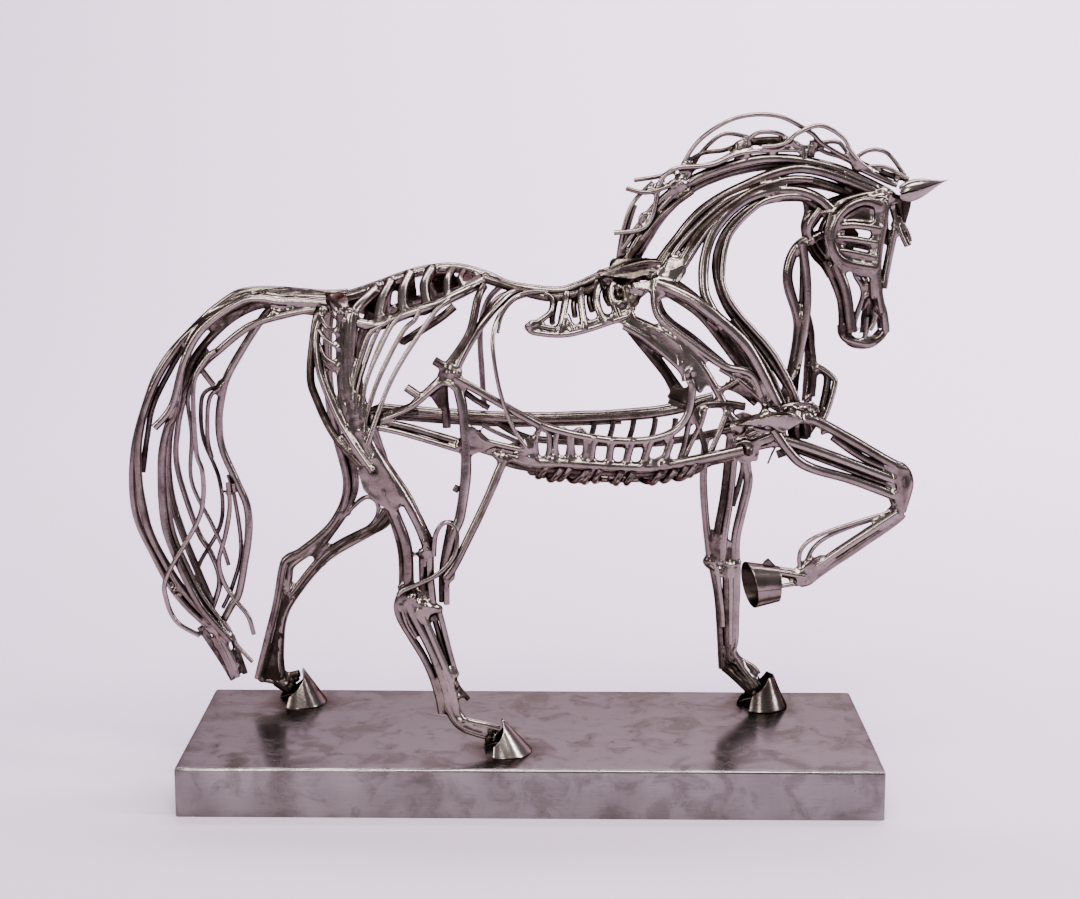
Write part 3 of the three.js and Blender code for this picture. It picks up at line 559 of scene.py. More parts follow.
def merged(meshes: list[bpy.types.Mesh]) -> bpy.types.Mesh:
    """Put meshes together into one, and drop them."""
    whole = bmesh.new()
    for mesh in meshes:
        whole.from_mesh(mesh)
        bpy.data.meshes.remove(mesh)
    data = bpy.data.meshes.new("merged")
    whole.to_mesh(data)
    whole.free()
    return data


def joined(name: str, meshes: list[bpy.types.Mesh], material: bpy.types.Material) -> bpy.types.Object:
    """Join meshes into one object at the origin with one material.

    Args:
        name: The object's name.
        meshes: The meshes, which are used up.
        material: The object's only material.

    Returns:
        The new object, in the scene.
    """
    data = merged(meshes)
    data.polygons.foreach_set("use_smooth", [True] * len(data.polygons))
    data.polygons.foreach_set("material_index", [0] * len(data.polygons))
    data.set_sharp_from_angle(angle=math.radians(48))
    return placed(name, data, material)


def placed(name: str, mesh: bpy.types.Mesh, material: bpy.types.Material) -> bpy.types.Object:
    """Put a finished mesh into the scene as one object at the origin, with one material."""
    mesh.name = name
    mesh.materials.clear()
    mesh.materials.append(material)
    piece = bpy.data.objects.new(name, mesh)
    bpy.context.scene.collection.objects.link(piece)
    return piece


def strip(shape: bmesh.types.BMesh, lower: list, upper: list) -> None:
    """Lay a row of faces between two rows of points."""
    for a, b, c, d in zip(lower, lower[1:], upper[1:], upper):
        shape.faces.new((a, b, c, d))


class Workshop:
    """The trees, the finishes and the rod lines that every sub-assembly shares."""

    def __init__(self) -> None:
        """Make the shared trees and finishes."""
        self.rod_tree = bent_rod_tree()
        self.weld_tree = weld_lump_tree()
        self.rib_tree = rib_row_tree()
        self.rod_steel = BurnishedRod().material()
        self.axes: list[tuple[Vector, float]] = []
        self.welds: list[Vector] = []
        self.pieces: list[bpy.types.Object] = []

    def note(self, rods: Sequence[Rod]) -> None:
        """Remember where the rods run, so that crevices between them can be found."""
        for item in rods:
            self.axes += [(spot, item.gauge * MM / 2) for spot in traced(item, 3.0)]

    def paint_shade_and_heat(self) -> None:
        """Write how deep between rods and how near a weld each point of every piece lies.

        The depth darkens the steel as painted shade, together with scale.
        """
        rods = KDTree(len(self.axes))
        for i, (axis, _) in enumerate(self.axes):
            rods.insert(axis, i)
        rods.balance()
        welds = KDTree(len(self.welds))
        for i, spot in enumerate(self.welds):
            welds.insert(spot, i)
        welds.balance()
        reach = 3.2 * MM
        for piece in self.pieces:
            data = piece.data
            depth = [0.0] * len(data.vertices)
            warmth = [0.0] * len(data.vertices)
            for i, vert in enumerate(data.vertices):
                # Painted shade: a point whose outward probe comes close to another rod lies deep between
                # rods.
                _, index, far = rods.find(vert.co + vert.normal * reach)
                clear = far - self.axes[index][1]
                depth[i] = min(0.92, max(0.0, 1.0 - clear / (0.8 * reach)))
                gap = welds.find(vert.co)[2]
                warmth[i] = max(0.0, 1.0 - gap / (16 * MM))
            data.attributes.new("shade_and_dark_marks", "FLOAT", "POINT").data.foreach_set("value", depth)
            data.attributes.new("heat", "FLOAT", "POINT").data.foreach_set("value", warmth)


@dataclass
class WeldedWork:
    """A sub-assembly of rods, plates and welds that is one piece of steelwork."""

    name: str
    nodes: tuple[str, ...]
    slot: str
    rods: Sequence[Rod] = ()
    plates: Sequence[Plate] = ()
    lumps: Sequence[Lump] = ()
    sides: int = 12
    step: float = 2.3
    wobble: float = 0.5
    fill: float = 1.1
    reach: float = 5.0
    voxel: float = 0.95
    seed: int = 3

    def draw(self) -> None:
        """Add the rods, plates and welds that are worked out; most sub-assemblies list them as fields."""

    def build(self, shop: Workshop) -> bpy.types.Object:
        """Bend the rods, set the welds and join everything.

        Args:
            shop: The shared trees and finishes.

        Returns:
            The finished piece, riding on the one body.
        """
        self.draw()
        lines = [Line([Vector(p) * MM for p in item.points], [item.gauge * MM] * len(item.points), item.tone)
                 for item in self.rods]
        meshes = [self.tubes(shop, lines, self.sides, self.step)]
        if self.lumps or self.plates:
            meshes.append(self.fused(shop))
        meshes += self.extra(shop)
        piece = joined(self.name, meshes, shop.rod_steel)
        shop.note(self.rods)
        shop.welds += [Vector(lump[:3]) * MM for lump in self.lumps]
        self.dress(shop, piece)
        return piece

    def tubes(self, shop: Workshop, lines: list[Line], sides: int, step: float) -> bpy.types.Mesh:
        """Turn bend lines into round rods.

        Args:
            shop: The shared trees and finishes.
            lines: The bend lines.
            sides: Sides of each rod.
            step: Distance between its rings, in mm.

        Returns:
            The rods as one mesh.
        """
        return grown(line_mesh(lines), shop.rod_tree, {
            "Sides": sides, "Step": step * MM, "Wobble": self.wobble * MM, "Seed": float(self.seed),
            "Material": shop.rod_steel})

    def fused(self, shop: Workshop) -> bpy.types.Mesh:
        """Melt the welds, the plates and the rods beside them into one skin with soft fillets.

        Everything is made thicker by the fill and wrapped in one skin, which is then drawn in by the fill.

        Args:
            shop: The shared trees and finishes.

        Returns:
            The skin, with a tone on every point.
        """
        fill = self.fill
        spots = [(Vector(lump[:3]) * MM, lump[3] * MM) for lump in self.lumps]
        sheets = [BVHTree.FromPolygons([v.co for v in flat.vertices], [f.vertices[:] for f in flat.polygons])
                  for flat in (flat_mesh(item, 0.0) for item in self.plates)]
        known: list[tuple[Vector, float]] = []
        lines: list[Line] = []
        for item in self.rods:
            near: list[tuple[Vector, float]] = []
            for point in (*traced(item), None):
                close = 0.0
                if point is not None:
                    known.append((point, item.tone))
                    gaps = [(point - spot).length - size - item.gauge * MM / 2 for spot, size in spots]
                    gaps += [tree.find_nearest(point)[3] - item.gauge * MM / 2 for tree in sheets]
                    close = 1.0 - max(0.0, min(gaps)) / (self.reach * MM)
                if close > 0:
                    near.append((point, min(1.0, close * 1.6)))
                    continue
                if len(near) > 2:
                    gauges = [(item.gauge * (0.84 + 0.18 * light_across) + 2 * fill) * MM for _, light_across in near]
                    lines.append(Line([spot for spot, _ in near], gauges, item.tone))
                near = []
        parts = [self.tubes(shop, lines, 10, 1.8)] if lines else []
        if self.lumps:
            parts.append(grown(self.weld_points(fill), shop.weld_tree, {
                "Pitting": 0.8 * MM, "Seed": self.seed, "Material": shop.rod_steel}))
        for item in self.plates:
            wall = {"thickness": (item.thickness + 2 * fill) * MM, "offset": 0.0}
            parts.append(changed(flat_mesh(item, fill), ("SOLIDIFY", wall)))
        skin = changed(
            merged(parts),
            ("REMESH", {"mode": "VOXEL", "voxel_size": self.voxel * MM}),
            ("SMOOTH", {"factor": 0.5, "iterations": 7}),
            ("DISPLACE", {"strength": -fill * MM, "mid_level": 0.0}),
            ("SMOOTH", {"factor": 0.5, "iterations": 2}))
        moved = [vert.co + vert.normal * noise.noise(vert.co * 140.0) * 0.25 * MM for vert in skin.vertices]
        skin.vertices.foreach_set("co", [value for spot in moved for value in spot])
        paths = KDTree(len(known))
        for i, (point, _) in enumerate(known):
            paths.insert(point, i)
        paths.balance()
        tones = []
        for vert in skin.vertices:
            tone = known[paths.find(vert.co)[1]][1] * 0.8 + 0.1
            for item, tree in zip(self.plates, sheets):
                if tree.find_nearest(vert.co)[3] < (item.thickness / 2 + 0.9) * MM:
                    tone = item.tone
            tones.append(tone)
        skin.attributes.new("tone", "FLOAT", "POINT").data.foreach_set("value", tones)
        return skin

    def extra(self, shop: Workshop) -> list[bpy.types.Mesh]:
        """Give further meshes of the sub-assembly; most have none."""
        return []

    def weld_points(self, grow: float) -> bpy.types.Mesh:
        """Place a point with a size for every weld, each larger by the given mm."""
        mesh = bpy.data.meshes.new("welds")
        mesh.from_pydata([Vector(lump[:3]) * MM for lump in self.lumps], [], [])
        sizes = [(lump[3] * 0.86 + grow) * MM for lump in self.lumps]
        mesh.attributes.new("size", "FLOAT", "POINT").data.foreach_set("value", sizes)
        return mesh

    def dress(self, shop: Workshop, piece: bpy.types.Object) -> None:
        """Tie the piece to the frame."""
        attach(piece, "root")
        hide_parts(*self.nodes)
        shop.pieces.append(piece)
        LOG.info("%s: %d faces", self.name, len(piece.data.polygons))


W, T, R, H, B = Gauge.WIRE, Gauge.THIN, Gauge.ROD, Gauge.HEAVY, Gauge.BAR
BLACK, DARK, MID, LIGHT, BRIGHT = Tone.BLACK, Tone.DARK, Tone.MID, Tone.LIGHT, Tone.BRIGHT


@dataclass
class Tail(WeldedWork):
    """The tail: about a dozen rods that leave the croup together, part and meet again at a cut bundle."""

    rods: tuple[Rod, ...] = (
        rod(R, LIGHT, (-132, -1, 361), (-150, 0, 360), (-200, 0, 362), (-224, 0, 351), (-252, 2, 325),
            (-266, 2, 308), (-276, 3, 288), (-289, 3, 245), (-290, 3, 200), (-276, 1, 165), (-262, 0, 139),
            (-244, -1, 119), (-225, -2, 104)),
        rod(R, MID, (-138, -4, 357), (-152, -3, 357), (-180, -4, 357), (-206, -4, 354), (-240, -4, 335),
            (-258, -5, 316), (-273, -5, 291), (-283, -5, 260), (-285, -5, 228), (-280, -5, 191),
            (-266, -4, 159), (-252, -3, 137), (-234, -3, 117), (-222, -3, 108)),
        rod(T, DARK, (-248, 4, 326), (-273, 6, 282), (-280, 6, 254), (-284, 5, 228)),
        rod(R, BRIGHT, (-138, -10, 353), (-164, -8, 355), (-180, -8, 355), (-193, -8, 357), (-209, -8, 354),
            (-235, -10, 335), (-248, -11, 313), (-258, -11, 280), (-271, -11, 264)),
        rod(R, MID, (-252, -8, 300), (-257, -9, 273), (-262, -10, 264), (-267, -10, 240), (-267, -10, 200),
            (-261, -10, 174), (-243, -9, 133), (-221, -7, 104)),
        rod(T, LIGHT, (-255, -5, 285), (-265, -6, 240), (-262, -6, 190), (-249, -5, 153), (-239, -5, 134),
            (-225, -4, 114)),
        rod(T, LIGHT, (-234, 6, 318), (-240, 6, 311), (-251, 7, 286), (-258, 8, 260), (-259, 8, 230),
            (-246, 7, 185), (-236, 6, 167), (-230, 5, 146), (-237, 3, 122)),
        rod(W + 0.4, BRIGHT, (-226, -12, 320), (-231, -13, 316), (-240, -14, 302), (-242, -15, 285),
            (-241, -15, 248), (-237, -15, 233), (-237, -15, 212), (-243, -15, 193), (-265, -15, 155),
            (-266, -14, 137), (-259, -13, 120), (-243, -11, 109)),
        rod(R, LIGHT, (-160, 5, 352), (-180, 5, 352), (-192, 5, 344), (-215, 3, 309), (-223, 3, 291),
            (-227, 3, 268), (-225, 3, 246), (-215, 3, 221), (-208, 3, 202), (-208, 2, 178), (-215, 1, 140),
            (-221, 1, 129), (-227, 0, 118)),
        rod(W, DARK, (-224, 5, 292), (-236, 5, 288), (-240, 5, 278), (-239, 5, 253), (-228, 5, 222),
            (-228, 5, 190), (-245, 5, 158), (-246, 5, 138), (-239, 5, 122), (-226, 4, 111)),
        rod(W, MID, (-225, 0, 291), (-233, -1, 283), (-235, -1, 256), (-232, -1, 240)),
        rod(W, MID, (-240, -3, 304), (-248, -3, 285), (-246, -3, 258), (-247, -3, 223), (-234, -3, 193),
            (-226, -2, 174), (-222, -1, 160)),
        rod(W + 0.4, LIGHT, (-221, -2, 222), (-220, -2, 204), (-224, -2, 182), (-229, -2, 163),
            (-226, -1, 147), (-218, 0, 133), (-209, 0, 121), (-205, 0, 107)),
        rod(W, MID, (-222, 7, 226), (-218, 7, 210), (-214, 7, 170), (-221, 5, 142), (-228, 4, 126)),
        rod(W, LIGHT, (-226, -5, 118), (-222, -5, 112), (-218, -5, 102), (-206, -3, 87)),
        rod(T, MID, (-238, -9, 308), (-229, -5, 294)),
        rod(R, DARK, (-245, 3, 112), (-230, 3, 88), (-221, 2, 72)),
        side(R, MID, -2, (-234, 106), (-226, 90), (-220, 75)),
        rod(T, LIGHT, (-227, -6, 104), (-221, -6, 91), (-217, -5, 76)),
        side(T, DARK, (2, 0), (-222, 106), (-217, 92), (-212, 77)),
        rod(R, DARK, (-150, 3, 351), (-186, 3, 352), (-204, 3, 348), (-220, 2, 338), (-235, 2, 323),
            (-245, 3, 309), (-252, 4, 292)),
        rod(R, LIGHT, (-140, -9, 351), (-166, -8, 348), (-200, -9, 338), (-226, -6, 318), (-236, 0, 309),
            (-246, 5, 297), (-252, 7, 284)),
        rod(R, MID, (-152, 8, 354), (-172, 8, 356), (-192, 8, 353), (-210, 8, 346), (-226, 8, 334),
            (-252, 8, 299), (-265, 8, 250), (-262, 7, 200), (-236, 2, 130)),
    )
    plates: tuple[Plate, ...] = (
        plate(9, MID, (-146, 0, 361), (-164, -1, 364), (-184, -2, 364), (-198, -3, 359), (-186, -3, 351),
            (-172, -2, 346), (-158, -1, 344), (-146, 0, 346)),
        plate(2.4, DARK, (-196, 1, 358), (-216, 1, 352), (-232, 1, 338), (-226, 0, 330), (-210, 0, 343)),
    )
    lumps: tuple[Lump, ...] = (
        (-146, 0, 353, 8), (-170, -7, 350, 4.4), (-185, -8, 347, 3.8), (-153, 0, 356, 6.5),
        (-160, -2, 356, 5.5), (-168, -3, 357, 4.5), (-224, 3, 293, 4.2), (-236, -3, 336, 4.2),
        (-245, -5, 322, 3.6), (-257, -9, 279, 3.4), (-221, 1, 214, 3), (-236, 0, 112, 4.6),
        (-227, -3, 107, 5), (-231, -1, 100, 4.6), (-222, -1, 92, 3.6), (-219, -3, 84, 3.2),
        (-243, -8, 110, 3.2), (-262, -6, 141, 2.6),
    )


class Back(WeldedWork):
    """The spine, with the slatted croup and the withers hub."""

    def draw(self) -> None:
        """Bend the spine and lay the slats of the croup on both sides."""
        self.rods = [
            rod(H, LIGHT, (-156, 0, 356), (-130, 0, 359), (-84, 0, 375), (-56, 0, 378.5), (-33, 0, 373),
                (-16, 0, 366), (14, 0, 362), (30, 0, 365), (56, 0, 377), (72, 0, 380), (94, -2, 381)),
            rod(R, DARK, (-33, -6, 371), (2, -7, 360), (20, -8, 359), (40, -8, 364), (58, -8, 371),
                (76, -9, 374), (94, -10, 374)),
            rod(R, MID, (-36, 6, 372), (-10, 6, 363), (10, 6, 360), (34, 6, 365), (58, 6, 374), (86, 5, 378)),
            rod(T, DARK, (44, -13, 374), (76, -14, 384), (90, -13, 384)),
        ]
        for y, tone, slat in ((-1, BRIGHT, LIGHT), (1, MID, MID)):
            rail = [
                rod(H - 0.4, tone, (-138, y * 30, 350), (-133, y * 34, 347), (-120, y * 35, 343),
                    (-108, y * 35, 342), (-98, y * 35, 346), (-88, y * 35, 350), (-75, y * 35, 354),
                    (-65, y * 34, 357), (-55, y * 32, 362), (-44, y * 27, 367), (-36, y * 18, 371)),
                rod(H, slat, (-128, y * 35, 346), (-121, y * 24, 355), (-112, y * 7, 363)),
                rod(H, slat, (-108, y * 35, 343), (-106, y * 22, 357), (-101, y * 6, 368)),
                rod(H, slat, (-90, y * 35, 350), (-91, y * 22, 364), (-87, y * 6, 374)),
                rod(H, slat, (-73, y * 34, 355), (-76, y * 20, 368), (-72, y * 6, 377)),
                rod(R, slat, (-59, y * 33, 360), (-60, y * 20, 372), (-57, y * 6, 378)),
                rod(T, slat, (-47, y * 30, 366), (-51, y * 18, 373), (-49, y * 6, 377)),
                rod(T, tone, (-138, y * 30, 350), (-142, y * 16, 355), (-144, y * 3, 358)),
            ]
            self.rods += rail
        self.plates = [
            plate(3.5, LIGHT, (-57, -31, 361), (-46, -29, 366), (-36, -17, 372), (-38, -12, 375),
                (-48, -24, 370)),
            plate(4, MID, (-138, -22, 355), (-132, -33, 350), (-128, -30, 353), (-130, -18, 358),
                (-136, -6, 360), (-148, -5, 359)),
            plate(5, DARK, (47, -14, 374), (60, -8, 386), (78, -6, 386), (92, -8, 386), (93, -14, 378),
                (70, -16, 372)),
            plate(3.5, MID, (-56, 31, 361), (-44, 26, 367), (-36, 10, 374), (-52, 10, 376)),
            # Painted shade: these black plates stand for the dark inside of the croup behind the slats.
            plate(2.4, BLACK, (-138, 6, 357), (-120, 4, 361), (-110, 4, 364), (-110, 33, 344),
                (-124, 34, 346), (-136, 30, 350)),
            plate(2.4, BLACK, (-98, 4, 368), (-84, 4, 373), (-84, 33, 353), (-98, 34, 348)),
            plate(2.4, BLACK, (-72, 4, 376), (-58, 4, 377), (-56, 26, 364), (-70, 32, 358)),
            plate(3.4, DARK, (-132, -34, 349), (-116, -35, 346), (-104, -35, 347), (-92, -35, 353),
                (-96, -35, 341), (-110, -35, 337), (-126, -35, 340)),
            plate(3, DARK, (-92, -35, 353), (-78, -35, 357), (-64, -34, 361), (-58, -34, 358),
                (-74, -35, 349), (-92, -35, 345)),
        ]
        self.lumps = [
            (-142, -9, 355, 6), (-137, -18, 353, 5), (-128, -33, 350, 5.4), (-118, -34, 344, 4.2),
            (-99, -35, 347, 4.4), (-82, -35, 352, 3.8), (-112, -6, 364, 4), (-101, -5, 369, 4),
            (-87, -5, 375, 4.2), (-72, -5, 378, 4.2), (-109, -35, 343, 4), (-90, -35, 350, 4),
            (-74, -34, 355, 3.8), (-62, -33, 359, 3.6), (-40, -10, 374, 4.5), (-34, -4, 372, 5),
            (-148, 0, 357, 6), (49, -9, 375, 5), (58, -6, 382, 5.5), (70, -8, 381, 5.5), (80, -10, 383, 5),
            (90, -9, 383, 5), (64, -12, 375, 4.5), (-130, 33, 350, 4.5), (-90, 35, 350, 3.6),
            (62, 4, 380, 5.5), (84, 4, 380, 5), (54, -12, 370, 4), (72, -14, 370, 4.5), (84, -15, 374, 5),
        ]


@dataclass
class HaunchNear(WeldedWork):
    """The near haunch: hip posts, buttock rods with their rungs, and the thin ribs of the thigh."""

    rods: tuple[Rod, ...] = (
        rod(R, DARK, (-134, -34, 350), (-134.5, -36, 330), (-134, -37, 300), (-131, -39, 280),
            (-122, -43, 254)),
        rod(B, LIGHT, (-125, -34, 349), (-126, -36, 341), (-127, -38, 304), (-119, -43, 270),
            (-112, -46, 252)),
        rod(R, LIGHT, (-133, -37, 312), (-132, -38, 296), (-121, -43, 262)),
        rod(R, DARK, (-150, -18, 352), (-153, -24, 340), (-156, -32, 306), (-151, -35, 288),
            (-138, -40, 263), (-118, -48, 243)),
        rod(R, BRIGHT, (-147, -22, 350), (-151, -28, 336), (-151, -32, 322), (-147, -35, 303),
            (-133, -41, 272), (-111, -51, 241)),
        rod(T, MID, (-148, -26, 326), (-146, -32, 312), (-142, -36, 297), (-129, -41, 270)),
        rod(W, MID, (-149, -26, 346), (-144, -33, 340), (-136, -37, 337)),
        rod(W, LIGHT, (-150, -28, 338), (-144, -34, 331), (-136, -37, 327)),
        rod(W, MID, (-150, -30, 329), (-145, -35, 319), (-136, -38, 314)),
        rod(W, LIGHT, (-149, -31, 322), (-144, -35, 314), (-136, -38, 309)),
        rod(T, LIGHT, (-104, -37, 342), (-112, -38, 338), (-117, -39, 328), (-124, -41, 303),
            (-125, -43, 290)),
        rod(W, BRIGHT, (-106, -38, 341), (-113, -39, 326), (-121, -43, 300), (-123, -45, 280)),
        rod(W, LIGHT, (-99, -38, 343), (-108, -40, 325), (-117, -44, 298), (-120, -46, 282)),
        rod(W, BRIGHT, (-91, -38, 350), (-99, -40, 340), (-115, -45, 305), (-119, -48, 277)),
        rod(W + 0.4, LIGHT, (-78, -37, 354), (-82, -38, 346), (-90, -40, 338), (-105, -44, 310),
            (-115, -47, 282), (-117, -49, 268)),
        rod(W + 0.4, BRIGHT, (-58, -36, 360), (-62, -38, 357), (-70, -39, 349), (-97, -45, 307),
            (-115, -50, 260)),
        rod(R, DARK, (-92, -20, 328), (-66, -24, 345), (-55, -24, 354)),
    )
    plates: tuple[Plate, ...] = (
        plate(2.4, BLACK, (-135, -36, 338), (-126, -37, 338), (-127, -38, 300), (-122, -42, 270),
            (-130, -40, 272), (-134, -37, 300)),
        plate(4, MID, (-131, -41, 286), (-122, -42, 286), (-112, -46, 262), (-108, -48, 250),
            (-118, -47, 246), (-125, -44, 262)),
    )
    lumps: tuple[Lump, ...] = (
        (-134, -36, 350, 4.6), (-126, -36, 349, 4.6), (-147, -22, 350, 5), (-137, -37, 312, 3.4),
        (-124, -42, 288, 3.8), (-120, -45, 268, 4.4), (-117, -46, 258, 4), (-129, -42, 264, 3.6),
        (-122, -44, 276, 3.4), (-136, -37, 337, 3), (-136, -38, 327, 2.6), (-121, -44, 283, 3.4),
        (-92, -20, 328, 3.2), (-112, -51, 243, 3.4), (-127, -45, 254, 3.2),
    )


@dataclass
class HindNear(WeldedWork):
    """The near hind leg from the thigh plate to the pastern."""

    rods: tuple[Rod, ...] = (
        rod(H, LIGHT, (-114, -46, 262), (-108, -47, 250), (-92, -48, 226), (-79, -48, 201), (-72, -48, 181)),
        rod(T, DARK, (-110, -43, 256), (-98, -45, 240), (-86, -45, 221), (-70, -45, 187)),
        side(H, MID, -48, (-104, 228), (-89, 190), (-87, 157)),
        rod(T, DARK, (-102, -45, 216), (-93, -45, 184), (-92, -46, 156)),
        rod(R, DARK, (-77, -46, 184), (-77, -46, 165), (-76, -47, 146)),
        rod(R, LIGHT, (-71.5, -49, 184), (-71.5, -49, 165), (-70, -48, 143)),
        rod(R, MID, (-86, -48, 156), (-92, -48, 152), (-94, -48, 136), (-75, -49, 102), (-66.5, -49, 78),
            (-64, -49, 64)),
        rod(W, LIGHT, (-92, -50, 144), (-88, -51, 130), (-82, -51, 120)),
        rod(W, MID, (-90, -50, 141), (-86, -51, 131), (-81, -51, 121)),
        rod(H, LIGHT, (-87, -50, 148), (-84, -50, 138), (-70, -50, 109), (-61, -50, 82), (-59, -50, 70),
            (-50, -50, 55), (-26, -49, 46)),
        rod(R, BRIGHT, (-79, -51, 142), (-59, -51, 93), (-56, -50, 80), (-50, -50, 61), (-32, -50, 55),
            (-23, -49, 52)),
        side(T, DARK, -47, (-81, 140), (-73, 124), (-61, 94), (-57, 79)),
        side(T, LIGHT, -48, (-66, 142), (-57, 104), (-54, 93)),
        side(T, DARK, -46, (-70, 137), (-62, 107), (-58, 93)),
        rod(W + 0.4, DARK, (-56, -48, 92), (-53, -47, 84), (-45, -45, 73)),
        side(T, MID, -47, (-66, 84), (-64, 74), (-62, 63)),
    )
    plates: tuple[Plate, ...] = (
        plate(4.4, LIGHT, (-121, -47, 252), (-110, -48, 256), (-104, -49, 246), (-95, -50, 231),
            (-92, -50, 220), (-95, -50, 212), (-103, -49, 214), (-110, -49, 219), (-118, -48, 227),
            (-122, -47, 240)),
        plate(4, LIGHT, (-84, -50, 147), (-76, -51, 146), (-68, -50, 143), (-72, -50, 139), (-80, -50, 142)),
        flat(3, DARK, -47, (-67, 84), (-62, 84), (-60, 66), (-62, 62), (-66, 66)),
    )
    lumps: tuple[Lump, ...] = (
        (-75, -49, 190, 4.2), (-73, -49, 184, 5.2), (-77, -48, 181, 4.2), (-70, -49, 182, 3.6),
        (-91, -48, 156, 4.6), (-85, -50, 151, 5), (-87, -50, 147, 4.2), (-76, -50, 143, 5),
        (-72, -50, 139, 3.8), (-66, -49, 141, 3.8), (-80, -50, 145, 3.6), (-54, -48, 93, 4.2),
        (-56, -49, 89, 3.6), (-53, -48, 85, 3), (-50, -50, 59, 4.2), (-54, -50, 60, 3.4),
        (-47, -50, 57, 3.2), (-97, -49, 224, 3.4), (-112, -49, 250, 3.8), (-75, -48, 196, 3.4),
        (-52, -48, 76, 2.6), (-33, -50, 52, 3.6), (-48, -46, 77, 2.4),
    )


@dataclass
class HindFar(WeldedWork):
    """The far haunch and hind leg, to the pastern."""

    rods: tuple[Rod, ...] = (
        rod(H, MID, (-146, 18, 352), (-150, 30, 330), (-152, 42, 300), (-151, 50, 270), (-147, 55, 245),
            (-140, 58, 207), (-151, 58, 178), (-175, 58, 156), (-186, 58, 150), (-190, 58, 143),
            (-196, 59, 112), (-211, 60, 54)),
        rod(R, DARK, (-140, 46, 258), (-137, 52, 235), (-134, 56, 212), (-137, 57, 197), (-146, 57, 181),
            (-166, 57, 154)),
        rod(R, LIGHT, (-166, 58, 158), (-183, 58, 146), (-186, 59, 136), (-188, 59, 124)),
        rod(R, MID, (-124, 40, 272), (-110, 52, 222), (-108, 57, 196), (-111, 57, 184), (-122, 57, 175),
            (-156, 57, 156), (-184, 58, 122)),
        side(R, LIGHT, 60, (-106, 186), (-112, 177), (-126, 169), (-159, 148), (-188, 110), (-194, 76),
            (-193, 56)),
        side(T, DARK, 55, (-110, 190), (-120, 178), (-138, 168), (-153, 158)),
        side(W + 0.4, MID, 56, (-143, 184), (-131, 196), (-124, 199), (-118, 195), (-117, 187), (-121, 179),
            (-129, 172)),
        side(R, LIGHT, 60, (-210, 54.5), (-196, 52), (-190, 54)),
        side(R, BLACK, 59, (-198, 51), (-192, 47), (-187, 45)),
        rod(R, DARK, (-193, 62, 56), (-187, 62, 56), (-180, 61, 58)),
        rod(H, DARK, (-118, 30, 344), (-127, 36, 320), (-130, 40, 296), (-126, 44, 270), (-116, 50, 240)),
    )
    plates: tuple[Plate, ...] = (
        flat(2.6, BLACK, 59, (-189, 120), (-186, 114), (-190, 92), (-192, 72), (-191, 54), (-208, 54),
            (-203, 80), (-196, 104)),
        plate(3, DARK, (-108, 58, 190), (-104, 58, 184), (-116, 58, 172), (-128, 57, 170), (-118, 57, 180)),
    )
    lumps: tuple[Lump, ...] = (
        (-166, 58, 154, 4.2), (-163, 58, 150, 3.6), (-187, 59, 125, 3.6), (-184, 59, 121, 3.2),
        (-208, 60, 54, 3.8), (-197, 60, 52, 3.2), (-110, 58, 184, 4.4), (-140, 57, 187, 3.2),
        (-148, 20, 350, 5), (-157, 58, 156, 3.4), (-190, 60, 50, 4), (-160, 59, 147, 3.2),
    )


@dataclass
class HockWire(WeldedWork):
    """The thin wire that loops round the near hock."""

    rods: tuple[Rod, ...] = (
        rod(W + 0.4, LIGHT, (-94, -53, 152), (-90, -54, 156), (-66, -55, 168), (-54, -55, 183),
            (-53, -53, 200), (-61, -53, 205), (-67.5, -52, 196), (-69, -50, 180)),
    )
    lumps: tuple[Lump, ...] = ((-92, -52, 155, 3.0), (-69, -50, 181, 2.6), (-84, -53, 158, 2.2))


